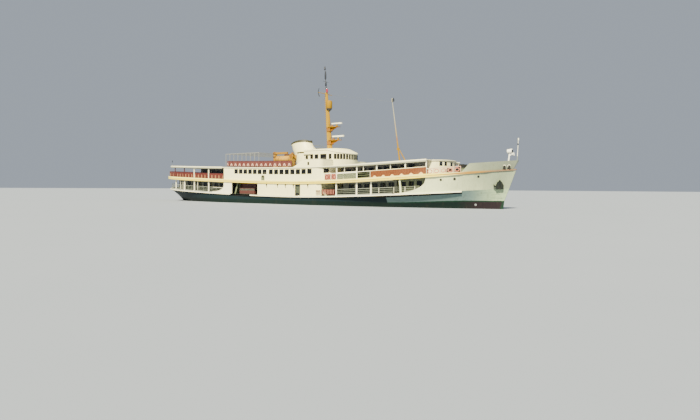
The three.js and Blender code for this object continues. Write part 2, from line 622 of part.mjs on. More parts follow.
/** A rail along a path: a foot rail and a hand rail, with stanchions at about equal steps. */
function railing(path, line, hand = RAIL.hand) {
  const bars = [[RAIL.foot, RAIL.footThick], [hand, RAIL.handThick]].map(([rise, thick]) =>
    strake(path, -0.035, 0.035, (x) => line(x) + rise, (x) => line(x) + rise + thick),
  );
  const stanchions = spaced(path, RAIL.step).map(([x, y]) =>
    box([x - ROD, y - ROD, standing(line, x, ROD)], [x + ROD, y + ROD, line(x) + hand + 0.03]),
  );
  return join(bars, stanchions);
}

/** Places along a path at about equal steps, for the stanchions. */
function spaced(path, step) {
  const points = path.map(([x, y]) => new THREE.Vector2(x, y));
  const spots = [];
  let due = step / 2;
  let done = 0;
  for (let i = 1; i < points.length; i++) {
    const length = points[i].distanceTo(points[i - 1]);
    while (due < done + length) {
      spots.push(points[i - 1].clone().lerp(points[i], (due - done) / length).toArray());
      due += step;
    }
    done += length;
  }
  return spots;
}

const SILL = 0.2;
const MAIN_POSTS = { fore: [11.02, 14.75, 17.2], last: 21.95, aft: [-30.1, -26.6, -23.4, -19.1] };
const UPPER_POSTS = { fore: [11.1, 14.85, 18.3, 22.75, 25.7], aft: [-30.1, -26.6, -23.4, -19.1] };

/** Main deck, forward side: sill, posts, head beam and a rail, as one frame on starboard. */
function mainFrameFore() {
  const path = sidePath("main", GANGWAY.fore[1] + 0.03, OPENING.foreTip - OPENING.sweep - 0.45, RAIL_INSET);
  const sill = strake(path, -0.08, 0.08, (x) => mainDeck(x) + GAP, (x) => mainDeck(x) + SILL);
  const head = strake(path, -0.06, 0.06, (x) => underUpper(x) - 0.16, (x) => underUpper(x) - GAP);
  const uprights = posts(MAIN_POSTS.fore, "main", RAIL_INSET, POST, 0.14, (x) => mainDeck(x) + 0.05, (x) => underUpper(x) - 0.05);
  const rail = strake(path, -0.03, 0.03, (x) => mainDeck(x) + 0.95, (x) => mainDeck(x) + 1.01);
  return join(sill, head, uprights, rail);
}

/** Main deck, aft: the same frame round the stern, as one piece. */
function mainFrameAft() {
  const path = sternPath("main", OPENING.aftStart - 0.4, RAIL_INSET);
  const sill = strake(path, -0.16, 0.08, (x) => mainDeck(x) + GAP, (x) => mainDeck(x) + SILL);
  const rail = strake(path, -0.03, 0.03, (x) => mainDeck(x) + 0.95, (x) => mainDeck(x) + 1.01);
  const head = strake(path, -0.16, 0.06, (x) => underUpper(x) - 0.16, (x) => underUpper(x) - GAP);
  const uprights = posts(MAIN_POSTS.aft, "main", RAIL_INSET, POST, 0.14, (x) => mainDeck(x) + 0.05, (x) => underUpper(x) - 0.05).flatMap(bothSides);
  return join(sill, rail, head, uprights, bothSides(sweepPlate()));
}

const MOULDING_TOP = 0.27;

/** Upper deck, forward side: rail, posts and canopy beam on starboard, from the saloon corner to the bow deck. */
const PANEL = { from: 11.1, to: 15.0 }; // slatted panel in the fore rail
function upperFrameFore() {
  const inset = RAIL_INSET;
  const canopyPath = sidePath("upper", MID.corner + 2.6, UPPER_POSTS.fore.at(-1), inset);
  const beam = strake(canopyPath, -0.06, 0.06, (x) => underRoof(x) - 0.14, (x) => underRoof(x) - GAP);
  const uprights = posts(UPPER_POSTS.fore, "upper", inset, 0.08, 0.12, (x) => standing(upperDeck, x, 0.08), (x) => underRoof(x) - 0.05);
  const rail = [
    railing(sidePath("upper", MID.corner + 1.6, UPPER_POSTS.fore.at(-1), inset), upperDeck),
    railing(sidePath("upper", UPPER_POSTS.fore.at(-1) - 0.04, BULWARK.from - 0.12, inset), upperDeck, RAIL.bowHand),
  ];
  const panelPath = sidePath("upper", PANEL.from, PANEL.to, inset);
  const slats = row(0.24, 0.96, 5).map((rise) =>
    strake(panelPath, -0.02, 0.02, (x) => upperDeck(x) + rise, (x) => upperDeck(x) + rise + 0.14),
  );
  return join(beam, uprights, rail, slats);
}

/** Upper deck, aft: rail round the stern with posts and the canopy's beam. */
function upperFrameAft() {
  const inset = RAIL_INSET;
  const path = sternPath("upper", OPENING.aftStart - 0.1, inset);
  const rail = railing(path, upperDeck);
  const canopyPath = sternPath("roof", OPENING.aftStart - 0.1, inset).filter(([x]) => x > -33.6);
  const beams = [canopyPath.filter(([, y]) => y > 0), canopyPath.filter(([, y]) => y < 0)].map((p) =>
    strake(p, -0.05, 0.05, (x) => underRoof(x) - 0.12, (x) => underRoof(x) - GAP),
  );
  const uprights = posts(UPPER_POSTS.aft, "upper", inset, 0.08, 0.12, (x) => standing(upperDeck, x, 0.08), (x) => underRoof(x) - 0.02).flatMap(bothSides);
  return join(rail, uprights, beams);
}

// Boat deck.

const BOAT_RAIL = { from: -13.9, to: 1.9, inset: 0.25 };
function boatDeckRail() {
  const path = sidePath("roof", BOAT_RAIL.from, BOAT_RAIL.to, BOAT_RAIL.inset);
  const loop = [...path.map(([x, y]) => [x, -y]).reverse(), ...path];
  return railing(loop, roofDeck, RAIL.boatHand);
}

const AWNING = { from: -14.4, to: -5.9, half: 6.15, height: 2.36, posts: 9 };
function awningFrame() {
  const xs = row(AWNING.from, AWNING.to, AWNING.posts);
  const top = roofDeck(AWNING.from) + AWNING.height;
  const bars = [-1, 1].map((s) => box([AWNING.from - 0.04, s * AWNING.half - 0.035, top - 0.07], [AWNING.to + 0.04, s * AWNING.half + 0.035, top]));
  const uprights = xs.flatMap((x) => [-1, 1].map((s) => box([x - 0.035, s * AWNING.half - 0.035, standing(roofDeck, x, 0.035)], [x + 0.035, s * AWNING.half + 0.035, top - 0.02])));
  const cross = xs.map((x) => box([x - 0.03, -AWNING.half, top - 0.06], [x + 0.03, AWNING.half, top - 0.01]));
  return join(bars, uprights, cross);
}

// Wheelhouse and bridge.

const BRIDGE = { aft: 2.0, straightTo: 7.0, front: 9.35, half: 3.5, top: 8.85, eaves: 8.22, fall: 0.55, sill: 7.42, head: 8.16 };
const BRIDGE_WINDOWS = [[3.68, 0.62], [4.7, 0.78], [6.16, 1.3]]; // X and width along the side
const FRONT_WINDOWS = [...row(-59.4, 59.4, 13).map((deg) => [deg, 0.41]), [-78, 0.46], [78, 0.46]]; // bearing, width
const BRIDGE_DOOR = { x: 2.65, width: 0.7, top: 8.1, pin: [2.27, -3.55], lugs: [6.5, 7.75] };
function wheelhouse() {
  const path = houseOutline(BRIDGE.aft, BRIDGE.straightTo, BRIDGE.front, BRIDGE.half, 14);
  const ring = walls(path, roofDeck, () => BRIDGE.eaves);
  const side = BRIDGE_WINDOWS.flatMap(([x, w]) => windowCuts([x], w, BRIDGE.half, () => BRIDGE.sill, () => BRIDGE.head));
  const depth = BRIDGE.front - BRIDGE.straightTo;
  const front = FRONT_WINDOWS.map(([deg, width]) => {
    const a = THREE.MathUtils.degToRad(deg);
    const x = BRIDGE.straightTo + depth * Math.cos(a);
    const y = BRIDGE.half * Math.sin(a);
    const facing = Math.atan2(y / BRIDGE.half ** 2, (x - BRIDGE.straightTo) / depth ** 2);
    const g = new THREE.BoxGeometry(0.7, width, BRIDGE.head - BRIDGE.sill);
    g.rotateZ(facing);
    g.translate(x, y, (BRIDGE.head + BRIDGE.sill) / 2);
    return solid(g);
  });
  const doors = bothSides(box([BRIDGE_DOOR.x - BRIDGE_DOOR.width / 2, -BRIDGE.half - 0.2, roofDeck(BRIDGE_DOOR.x) + 0.12], [BRIDGE_DOOR.x + BRIDGE_DOOR.width / 2, -BRIDGE.half + 0.3, BRIDGE_DOOR.top]));
  const lugs = BRIDGE_DOOR.lugs.map((z) =>
    box([BRIDGE_DOOR.pin[0] - 0.06, BRIDGE_DOOR.pin[1] - 0.03, z], [BRIDGE_DOOR.pin[0] + 0.03, -BRIDGE.half + 0.02, z + 0.05]),
  );
  return join(cut(ring, side, front, doors), bothSides(join(...lugs)));
}

const ROOF_RISE = 0.32; // of the wheelhouse roof at its crown
/** Height of the roof's edge, which falls away round the front. */
const roofEdge = (x) => {
  const u = Math.min(1, Math.max(0, (x - BRIDGE.straightTo) / (BRIDGE.front - BRIDGE.straightTo)));
  return BRIDGE.top + 0.08 - BRIDGE.fall * u ** 0.8;
};
function wheelhouseRoof() {
  const layers = [
    [0, () => BRIDGE.eaves],
    [0, (x) => roofEdge(x) - 0.13],
    [0.05, (x) => roofEdge(x) - 0.1],
    [0.05, roofEdge],
    [-0.16, (x) => roofEdge(x) + 0.1],
    [-1.3, () => BRIDGE.top + ROOF_RISE],
  ];
  const shell = loft(
    layers.map(([grow, height]) => {
      const aft = BRIDGE.aft - Math.min(0, grow * 0.4);
      const outline = houseOutline(aft, BRIDGE.straightTo, BRIDGE.front + grow, BRIDGE.half + grow, 14, [aft, BRIDGE.straightTo]);
      return outline.map(([x, y]) => [x, y, height(x)]);
    }),
  );
  return cut(shell, box([BRIDGE.aft + 0.15, -3.3, BRIDGE.eaves - 0.1], [BRIDGE.straightTo + 0.4, 3.3, BRIDGE.top - 0.1]));
}

/** Bulwark of a bridge wing on starboard: it sweeps up from the boat deck at the ship's side. */
const WING = { from: 2.4, full: 4.6, to: 8.0, corner: 0.9, y: -6.5, innerEnd: -3.3, top: 7.2, slot: [5.36, 5.76, 6.3, 6.82] };
function bridgeWing() {
  const { from, full, to, corner, y, innerEnd, top } = WING;
  const low = (x) => roofDeck(x) + GAP;
  const high = (x) => {
    const u = Math.min(1, Math.max(0, (x - from) / (full - from)));
    return lerp(low(from) + 0.06, top, 0.6 * u + 0.4 * u * u * (3 - 2 * u));
  };
  const sweep = [...row(from, full, 7), 3, 6, to - corner].sort((a, b) => a - b).map((x) => [x, y]);
  const arc = row(18, 90, 5).map((deg) => {
    const a = THREE.MathUtils.degToRad(deg);
    return [to - corner + corner * Math.sin(a), y + corner - corner * Math.cos(a)];
  });
  const plate = strake([...sweep, ...arc, [to, innerEnd]], 0, WALL, low, high);
  const [x0, x1, z0, z1] = WING.slot;
  return cut(plate, box([x0, y - 0.2, z0], [x1, y + 0.3, z1]));
}

/** Steering console inside the wheelhouse, with the wheel on its aft face. */
function helm() {
  const x = 7.6;
  const floor = standing(roofDeck, x + 0.3, 0.3);
  const desk = box([x, -1.6, floor], [x + 0.6, 1.6, floor + 1.05]);
  const wheel = solid(new THREE.TorusGeometry(0.42, 0.03, 8, 24).rotateY(Math.PI / 2).translate(x - 0.18, 0, floor + 1.0));
  const spokes = [0, 60, 120].map((deg) => {
    const a = THREE.MathUtils.degToRad(deg);
    const d = [0.42 * Math.cos(a), 0.42 * Math.sin(a)];
    return bar([x - 0.18, -d[0], floor + 1.0 - d[1]], [x - 0.18, d[0], floor + 1.0 + d[1]], 0.02, 0.02, 6);
  });
  const hub = bar([x + 0.05, 0, floor + 1.0], [x - 0.24, 0, floor + 1.0], 0.06);
  return join(desk, wheel, spokes, hub);
}

// Funnel: oval rings that lean aft, as height, aft end, fore end and half-width. The top is arched.
const FUNNEL = [
  [0, -2.1, 2.55, 1.75],
  [2.2, -2.75, 2.45, 1.7],
  [2.75, -3.05, 2.2, 1.62],
  [3.4, -3.4, 1.25, 1.5],
  [3.9, -3.52, 0.72, 1.42],
  [4.8, -3.8, 0.45, 1.35],
];
const FUNNEL_BASE = 6.12;
function funnelRing([rise, aft, fore, half], arch, shrink = 0) {
  const count = 20;
  return Array.from({ length: count }, (_, i) => {
    const a = (2 * Math.PI * (i + 0.5)) / count - Math.PI / 2;
    const x = lerp(aft, fore, 0.5) + ((fore - aft) / 2 - shrink) * Math.cos(a);
    const crown = fore - 0.55;
    const away = x < crown ? 0.76 * ((crown - x) / (crown - aft)) ** 2 : 0.16 * ((x - crown) / (fore - crown)) ** 2;
    const drop = arch ? away + 0.06 : 0;
    return [x, (half - shrink) * Math.sin(a), rise === 0 ? roofDeck(x) + GAP : FUNNEL_BASE + rise - drop];
  });
}
function funnel() {
  const skin = loft(FUNNEL.map((r, i) => funnelRing(r, i === FUNNEL.length - 1)));
  const mouth = loft([
    funnelRing([4.0, -3.55, 0.68, 1.4], false, 0.16),
    funnelRing([5.2, -3.9, 0.36, 1.32], false, 0.16),
  ]);
  const beside = box([BRIDGE.aft - 0.02, -3, 5], [4, 3, BRIDGE.top + ROOF_RISE + 0.01]);
  return cut(skin, mouth, beside);
}

// Masts.

const MAST = { x: 4.7, foot: BRIDGE.top + ROOF_RISE, head: 18.75, rake: -0.085, truck: 23.1 };
const mastX = (z) => MAST.x + (z - 9.3) * MAST.rake;

/** A streamlined section of the mast at a height. */
function mastRing(z, long, half) {
  const count = 12;
  return Array.from({ length: count }, (_, i) => {
    const a = (2 * Math.PI * (i + 0.5)) / count - Math.PI / 2;
    return [mastX(z) + (long / 2) * Math.cos(a), half * Math.sin(a), z];
  });
}

const RADARS = [
  { name: "radar_lower", deck: 10.75, bar: 11.3, x: 6.45, span: 2.3 },
  { name: "radar_upper", deck: 12.95, bar: 13.42, x: 6.15, span: 2.0 },
];
function mainMast() {
  const column = loft([mastRing(MAST.foot + GAP, 1.0, 0.3), mastRing(14, 0.8, 0.25), mastRing(MAST.head, 0.5, 0.16)]);
  const pole = bar([mastX(MAST.head - 0.4), 0, MAST.head - 0.4], [mastX(MAST.truck), 0, MAST.truck], 0.09, 0.035, 8);
  const barrelX = mastX(16.6) + 0.42;
  const barrel = solid(
    new THREE.LatheGeometry(
      [[0, -0.86], [0.3, -0.8], [0.5, -0.55], [0.52, 0.45], [0.44, 0.74], [0, 0.8]].map(([r, h]) => new THREE.Vector2(r, h)),
      14,
    ).rotateX(Math.PI / 2).translate(barrelX, 0, 16.6),
  );
  const platforms = RADARS.flatMap(({ deck, x }) => [
    box([mastX(deck) + 0.1, -0.45, deck - 0.1], [x + 0.4, 0.45, deck]),
    sidePlate([[mastX(deck), deck - 0.95], [x + 0.2, deck - 0.05], [mastX(deck), deck - 0.05]], -0.12, 0.12),
    bar([x, 0, deck - 0.05], [x, 0, deck + 0.32], 0.17, 0.14, 12),
  ]);
  const yard = bar([mastX(18.5), -2, 18.5], [mastX(18.5), 1.5, 18.5], 0.05, 0.05, 8);
  const topYard = bar([mastX(20.6), -0.7, 20.6], [mastX(20.6), 0.7, 20.6], 0.03, 0.03, 6);
  const lamps = [19.4, 21.4, 22.8].map((z) => bar([mastX(z), 0, z], [mastX(z), 0, z + 0.34], 0.13, 0.11, 10));
  return join(column, pole, barrel, platforms, yard, topYard, lamps);
}

/** A slotted radar scanner on its turning neck. */
function radar({ deck, bar: height, x, span }) {
  const neck = bar([x, 0, deck + 0.32 + GAP], [x, 0, height - 0.05], 0.1, 0.1, 12);
  const scanner = box([x - span / 2, -0.14, height - 0.08], [x + span / 2, 0.14, height + 0.14]);
  return join(neck, scanner);
}

const FORE_MAST = { x: 18.45, top: 16.1, rake: -0.155, block: 8.75 };
function foreMast() {
  const foot = standing(roofDeck, FORE_MAST.x + 0.5, 0.95);
  const at = (z) => [FORE_MAST.x + (z - foot) * FORE_MAST.rake, 0, z];
  const pole = bar([FORE_MAST.x, 0, foot + 0.001], at(FORE_MAST.top), 0.13, 0.05, 12);
  const [bx, , bz] = at(FORE_MAST.block);
  const block = box([bx - 0.18, -0.12, bz - 0.16], [bx + 0.18, 0.12, bz + 0.16]);
  const strut = bar([FORE_MAST.x + 1.15, 0, foot + 0.12], at(foot + 2.6), 0.08, 0.06, 8);
  const floor = standing(roofDeck, FORE_MAST.x + 0.5, 0.95);
  const plinth = box([FORE_MAST.x - 0.45, -0.5, floor], [FORE_MAST.x + 1.45, 0.5, floor + 0.12]);
  const lamp = bar(at(FORE_MAST.top - 0.1), [at(FORE_MAST.top)[0], 0, FORE_MAST.top + 0.45], 0.14, 0.12, 10);
  return join(pole, block, strut, plinth, lamp);
}

// Rescue boat, its cradle and its davit, on the boat deck to starboard.

const DAVIT = { x: -3.5, y: -4.7, seat: 6.45, top: 8.72, reach: 2.9 };
const BOAT = { x: -0.75, y: -4.7, length: 4.4, half: 0.95, keel: 6.62 };
function rescueBoat() {
  const sections = [[-0.5, 0.55, 0.35], [-0.42, 0.85, 0.1], [-0.15, 1, 0], [0.2, 0.9, 0.02], [0.4, 0.5, 0.25], [0.5, 0.06, 0.6]];
  const rings = sections.map(([u, w, lift]) => {
    const half = BOAT.half * w;
    const x = BOAT.x + BOAT.length * u;
    const z = BOAT.keel + lift;
    const profile = [[0.12, 0], [0.75, 0.3], [1, 0.75], [0.95, 0.95], [0.55, 1.4 - lift * 0.4]];
    const side = profile.map(([k, h]) => [x, BOAT.y - half * k, z + h * (1 - lift * 0.3)]);
    return [...side, ...side.map(([a, b, c]) => [a, 2 * BOAT.y - b, c]).reverse()];
  });
  return loft(rings);
}
function boatCradle() {
  const floor = (x) => roofDeck(x) + GAP;
  const frames = [-1.9, 0.4].map((x) => {
    const outline = [[-0.85, 0], [0.85, 0], [0.85, 0.95], [-0.85, 0.95]];
    const shape = new THREE.Shape(outline.map(([y, z]) => new THREE.Vector2(y, z)));
    const g = new THREE.ExtrudeGeometry(shape, { depth: 0.16, bevelEnabled: false });
    g.rotateX(Math.PI / 2).rotateZ(Math.PI / 2).translate(x - 0.08, BOAT.y, standing(roofDeck, x, 0.1));
    return solid(g);
  });
  const tie = box([DAVIT.x, BOAT.y - 0.1, standing(roofDeck, DAVIT.x, 0.4)], [0.4, BOAT.y + 0.1, floor(DAVIT.x) + 0.2]);
  const socket = bar([DAVIT.x, DAVIT.y, standing(roofDeck, DAVIT.x, 0.42)], [DAVIT.x, DAVIT.y, DAVIT.seat], 0.42, 0.34, 12);
  return cut(join(frames, tie, socket), rescueBoat().translate([0, 0, -GAP]));
}
function davit() {
  const { x, y, seat, top, reach } = DAVIT;
  const post = bar([x, y, seat + GAP], [x, y, top], 0.3, 0.27, 14);
  const arm = box([x - 0.35, y - 0.17, top - 0.34], [x + reach, y + 0.17, top - 0.02]);
  const brace = sidePlate([[x, top - 0.8], [x + 0.6, top - 0.25], [x, top - 0.25]], y - 0.08, y + 0.08);
  return join(post, arm, brace);
}

// Deck gear at the bow.

function windlass() {
  const x = 28.75;
  const floor = standing(upperDeck, x, 0.9);
  const bed = box([x - 0.9, -1.5, floor], [x + 0.9, 1.5, floor + 0.3]);
  const drums = [-0.95, 0.95].map((y) => bar([x, y - 0.3, floor + 0.75], [x, y + 0.3, floor + 0.75], 0.42, 0.42, 14));
  const axle = bar([x, -1.75, floor + 0.75], [x, 1.75, floor + 0.75], 0.12, 0.12, 10);
  const heads = [-1.55, 1.55].map((y) => bar([x, y - 0.2, floor + 0.75], [x, y + 0.2, floor + 0.75], 0.26, 0.26, 12));
  const cheeks = [-0.45, 0.45].map((y) => box([x - 0.4, y - 0.1, floor + 0.2], [x + 0.4, y + 0.1, floor + 1.4]));
  const gear = box([x - 0.7, -0.4, floor + 0.2], [x + 0.3, 0.4, floor + 0.9]);
  return join(bed, drums, axle, heads, cheeks, gear);
}

const HATCH = { x: 31.7, half: 0.6, height: 0.45 };
function hatchCoaming() {
  const floor = upperDeck(HATCH.x - HATCH.half);
  const outside = box([HATCH.x - HATCH.half, -HATCH.half, floor + 0.1], [HATCH.x + HATCH.half, HATCH.half, floor + HATCH.height]);
  const skirt = strake(
    [[HATCH.x - HATCH.half, -HATCH.half], [HATCH.x + HATCH.half, -HATCH.half], [HATCH.x + HATCH.half, HATCH.half], [HATCH.x - HATCH.half, HATCH.half]],
    0,
    0.08,
    (x) => upperDeck(x) + GAP,
    () => floor + 0.2,
    true,
  );
  const inside = box([HATCH.x - HATCH.half + 0.08, -HATCH.half + 0.08, floor - 1], [HATCH.x + HATCH.half - 0.08, HATCH.half - 0.08, floor + 2]);
  return cut(join(outside, skirt), inside);
}
const HATCH_TOP = () => upperDeck(HATCH.x - HATCH.half) + HATCH.height;
function hatchLid() {
  const top = HATCH_TOP() + GAP;
  const lid = box([HATCH.x - HATCH.half - 0.05, -HATCH.half - 0.05, top], [HATCH.x + HATCH.half + 0.05, HATCH.half + 0.05, top + 0.09]);
  const hinge = bar([HATCH.x - HATCH.half - 0.1, -0.35, top + 0.06], [HATCH.x - HATCH.half - 0.1, 0.35, top + 0.06], 0.045, 0.045, 10);
  const lug = box([HATCH.x - HATCH.half - 0.1, -0.3, top + 0.03], [HATCH.x - HATCH.half, 0.3, top + 0.08]);
  return join(lid, hinge, lug);
}

/** Searchlight on its pedestal, just inside the stem. */
function searchlight() {
  const x = 35.15;
  const floor = standing(upperDeck, x, 0.24);
  const lamp = floor + 2.5;
  const stand = bar([x, 0, floor + 0.03], [x + 0.25, 0, lamp - 0.2], 0.12, 0.09, 10);
  const base = bar([x, 0, floor], [x, 0, floor + 0.12], 0.24, 0.2, 12);
  const lampHouse = bar([x - 0.02, 0, lamp], [x + 0.6, 0, lamp + 0.03], 0.28, 0.34, 16);
  const horn = bar([x + 0.5, 0, lamp - 0.42], [x + 0.85, 0, lamp - 0.36], 0.09, 0.24, 12);
  const hornArm = bar([x + 0.15, 0, lamp - 0.6], [x + 0.56, 0, lamp - 0.41], 0.06, 0.06, 8);
  return join(stand, base, lampHouse, horn, hornArm);
}

/** Staff that stands on the solid nose of the bulwark. */
function jackstaff() {
  const [x, z] = [BULWARK.tipX - 0.2, upperDeck(BULWARK.to) + 1];
  return [bar([x, 0, z], [x + 0.12, 0, 9.2], 0.05, 0.03, 8), bar([x + 0.12, 0, 9.15], [x + 0.12, 0, 9.45], 0.09, 0.07, 10)];
}

/** Short staff with a lamp on the starboard quarter of the roof. */
function quarterStaff() {
  const [x, y] = [-33.0, -4.5];
  const floor = roofDeck(x);
  return [
    bar([x, y, floor - 0.08], [x + 0.1, y, floor + 0.95], 0.045, 0.03, 8),
    bar([x + 0.1, y, floor + 0.9], [x + 0.1, y, floor + 1.15], 0.08, 0.06, 8),
  ];
}

/** Stockless anchor drawn up against the bow plating on starboard. */
function anchor() {
  const shank = bar([0, -0.08, 0.62], [0, 0, -0.45], 0.12, 0.12, 8);
  const crown = box([-0.44, -0.14, -0.62], [0.44, 0.1, -0.34]);
  const flukes = [-1, 1].map((s) => {
    const outer = [[0.05, -0.4], [0.5, -0.54], [0.52, -0.12], [0.3, 0.36], [0.12, 0.5]].map(([u, v]) => [s * u, v]);
    return sidePlate(s > 0 ? outer : outer.reverse(), -0.14, 0.03);
  });
  const palm = sidePlate([[-0.45, -0.2], [-0.62, -0.08], [-0.8, 0.12], [-0.8, -0.2], [-0.45, -0.44]], -0.12, 0.02);
  return join(shank, crown, flukes, palm).transform(anchorFrame().elements);
}

// Steering and propulsion.

function rudder() {
  const { stock, aft, fore, top, bottom, thickness, stockRadius, head } = RUDDER;
  const section = (x0, x1, z) => {
    const long = x1 - x0;
    const half = [[0, 0.02], [0.12, 0.36], [0.35, 0.5], [0.7, 0.28], [1, 0.04]];
    const starboard = half.map(([u, w]) => [x1 - u * long, -w * thickness, z]);
    return [...starboard, ...starboard.map(([a, b, c]) => [a, -b, c]).reverse()];
  };
  const blade = loft([section(aft + 0.25, fore - 0.12, bottom), section(aft, fore, bottom + 0.5), section(aft + 0.2, fore, top)]);
  const post = bar([stock, 0, top - 0.4], [stock, 0, head], stockRadius, stockRadius, 24);
  return join(blade, post);
}

/** Propeller on starboard: four blades on a hub, facing aft. */
function propeller() {
  const { propeller: x, y, z, propellerRadius } = SHAFT;
  const hub = solid(
    new THREE.LatheGeometry(
      [[0, -0.28], [0.2, -0.28], [0.23, 0], [0.2, 0.25], [0.08, 0.5], [0, 0.54]].map(([r, h]) => new THREE.Vector2(r, h)),
      16,
    ).rotateZ(Math.PI / 2),
  );
  const blades = Array.from({ length: 4 }, (_, i) => {
    const rings = [[0.15, 0.22, 52], [0.45, 0.36, 40], [0.75, 0.34, 28], [0.95, 0.14, 22]].map(([r, wide, pitch]) => {
      const p = THREE.MathUtils.degToRad(pitch);
      const thick = 0.035 * (1.2 - r);
      return [[-1, -1], [1, -1], [1, 1], [-1, 1]].map(([a, b]) => {
        const across = a * wide;
        const out = b * thick;
        return [across * Math.sin(p) + out * Math.cos(p), across * Math.cos(p) - out * Math.sin(p), r * propellerRadius / 0.95];
      });
    });
    return loft(rings).rotate([90 * i, 0, 0]);
  });
  return join(hub, blades).translate([x, -y, z]);
}

// Doors and gates.

/** Sliding side door on starboard: a leaf inside the wall, hung on its track by a hooked hanger. */
function sideDoor() {
  const floor = mainDeck(DOOR.x);
  const inner = -MID.half + WALL;
  const leaf = box([DOOR.x - 0.6, inner + 0.07, floor + 0.08], [DOOR.x + 0.6, inner + 0.13, SIDE_DOOR.track + 0.1]);
  const hangers = [-0.45, 0.45].map((d) =>
    box([DOOR.x + d - 0.08, inner + 0.012, SIDE_DOOR.track + 0.04 + GAP], [DOOR.x + d + 0.08, inner + 0.1, SIDE_DOOR.track + 0.09]),
  );
  const handle = box([DOOR.x - 0.45, inner + 0.12, floor + 0.95], [DOOR.x - 0.38, inner + 0.18, floor + 1.2]);
  return join(leaf, hangers, handle);
}

/** Hinged wheelhouse door on starboard, set in its opening. */
function bridgeDoor() {
  const { x, width, top, pin } = BRIDGE_DOOR;
  const y = -BRIDGE.half;
  const gap = 0.014;
  const sill = roofDeck(x) + 0.12;
  const leaf = box([x - width / 2 + gap, y + 0.01, sill + gap], [x + width / 2 - gap, y + 0.06, top - gap]);
  const pane = box([x - 0.24, y - 0.1, BRIDGE.sill + 0.02], [x + 0.24, y + 0.2, BRIDGE.head - 0.16]);
  const knuckles = BRIDGE_DOOR.lugs.flatMap((z) => [
    bar([pin[0], pin[1], z + 0.05 + GAP], [pin[0], pin[1], z + 0.17], 0.03, 0.03, 10),
    box([pin[0], pin[1], z + 0.06], [pin[0] + 0.16, pin[1] + 0.02, z + 0.16]),
    box([pin[0] + 0.1, pin[1], z + 0.06], [pin[0] + 0.16, y + 0.03, z + 0.16]),
  ]);
  return join(cut(leaf, pane), knuckles);
}

/** Hinged rail gate across the forward entrance on starboard: its pin stands between the pillar's lugs. */
function gangwayGate() {
  const floor = mainDeck(GATE.fore);
  const pin = bar([GATE.pin, GATE.y, floor + GATE.low + GAP], [GATE.pin, GATE.y, floor + GATE.high - GAP], GATE.pinRadius);
  const bars = row(0.2, 0.86, 4).map((rise) =>
    box([GATE.pin, GATE.y - 0.025, floor + rise], [GATE.fore, GATE.y + 0.025, floor + rise + 0.06]),
  );
  const end = box([GATE.fore - 0.08, GATE.y - 0.035, floor + GATE.low], [GATE.fore, GATE.y + 0.035, floor + GATE.high]);
  return join(pin, bars, end);
}

/** Stair from the main deck up to the well in the upper deck. */
function stair() {
  const [x0, x1] = STAIR.x;
  const low = standing(mainDeck, x1 - 0.2, 0.15);
  const high = upperDeck(x0);
  const count = 9;
  const treads = Array.from({ length: count }, (_, i) => {
    const u = (i + 1) / (count + 1);
    const x = lerp(x1 - 0.2, x0 + 0.5, u);
    const z = lerp(low, high, u);
    return box([x - 0.14, -0.68, z - 0.04], [x + 0.14, 0.68, z]);
  });
  const stringers = [-0.72, 0.72].map((y) =>
    sidePlate([[x1 - 0.35, low], [x1 - 0.05, low], [x0 + 0.75, high], [x0 + 0.3, high]], y - 0.04, y + 0.04),
  );
  return join(treads, stringers);
}

// The pieces, in the order in which they are built up.

piece("hull", hull(), BLACK);
piece("belting", belting(), WHITE);
piece("fore_shell", foreShell(), WHITE);
piece("upper_deck", upperDeckSlab(), TEAK);
piece("upper_deck_moulding", upperMoulding(), CREAM);
piece("bow_bulwark", bowBulwark(), WHITE);
piece("roof_deck", roofSlab(), WHITE);
piece("lower_saloon_aft", lowerSaloonAft(), WHITE);
piece("lower_house_mid", lowerHouseMid(), WHITE);
piece("lower_saloon_fore", lowerSaloonFore(), WHITE);
piece("upper_saloon_aft", upperSaloonAft(), WHITE);
piece("upper_saloon_mid", upperSaloonMid(), WHITE);
piece("upper_saloon_fore", upperSaloonFore(), WHITE);
piece("main_frame_aft", mainFrameAft(), WHITE);
piece("upper_frame_aft", upperFrameAft(), RED_WOOD);
piece("boat_deck_rail", boatDeckRail(), RED_WOOD);
piece("awning_frame", awningFrame(), GREY);
piece("wheelhouse", wheelhouse(), WHITE);
piece("wheelhouse_roof", wheelhouseRoof(), WHITE);
piece("helm", helm(), TEAK);
piece("funnel", funnel(), WHITE);
piece("main_mast", mainMast(), YELLOW);
for (const r of RADARS) piece(r.name, radar(r), WHITE);
piece("fore_mast", foreMast(), YELLOW);
piece("rescue_boat", rescueBoat(), ORANGE);
piece("boat_cradle", boatCradle(), YELLOW);
piece("davit", davit(), YELLOW);
piece("windlass", windlass(), STEEL);
piece("hatch_coaming", hatchCoaming(), WHITE);
piece("hatch_lid", hatchLid(), WHITE);
piece("searchlight", searchlight(), WHITE);
piece("rudder", rudder(), RED_WOOD);
piece("stair", stair(), GREY);

// Pieces that are made on starboard and mirrored to port.
const PAIRS = [
  ["main_frame_fore", mainFrameFore(), WHITE],
  ["upper_frame_fore", upperFrameFore(), RED_WOOD],
  ["bridge_wing", bridgeWing(), WHITE],
  ["anchor", anchor(), STEEL],
  ["propeller", propeller(), BRONZE],
  ["side_door", sideDoor(), GREY],
  ["bridge_door", bridgeDoor(), WHITE],
  ["gangway_gate", gangwayGate(), RED_WOOD],
];
for (const [name, made, material] of PAIRS) {
  piece(`${name}_stbd`, made, material);
  piece(`${name}_port`, mirrored(made), material);
}

ship.scale.setScalar(MODEL_MM_PER_METRE);

export default ship;
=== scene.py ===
"""Passenger ferry at half size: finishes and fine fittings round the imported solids.

Sizes in this file are metres on the full-size ship; SCALE turns them into metres of the model. Shader masks
read the model's own coordinates. +X is forward, +Y port and +Z up, from amidships on the still waterline.
"""
import json
import logging
import math
from dataclasses import dataclass, field
from enum import Enum
from typing import Callable, ClassVar, Optional, Sequence

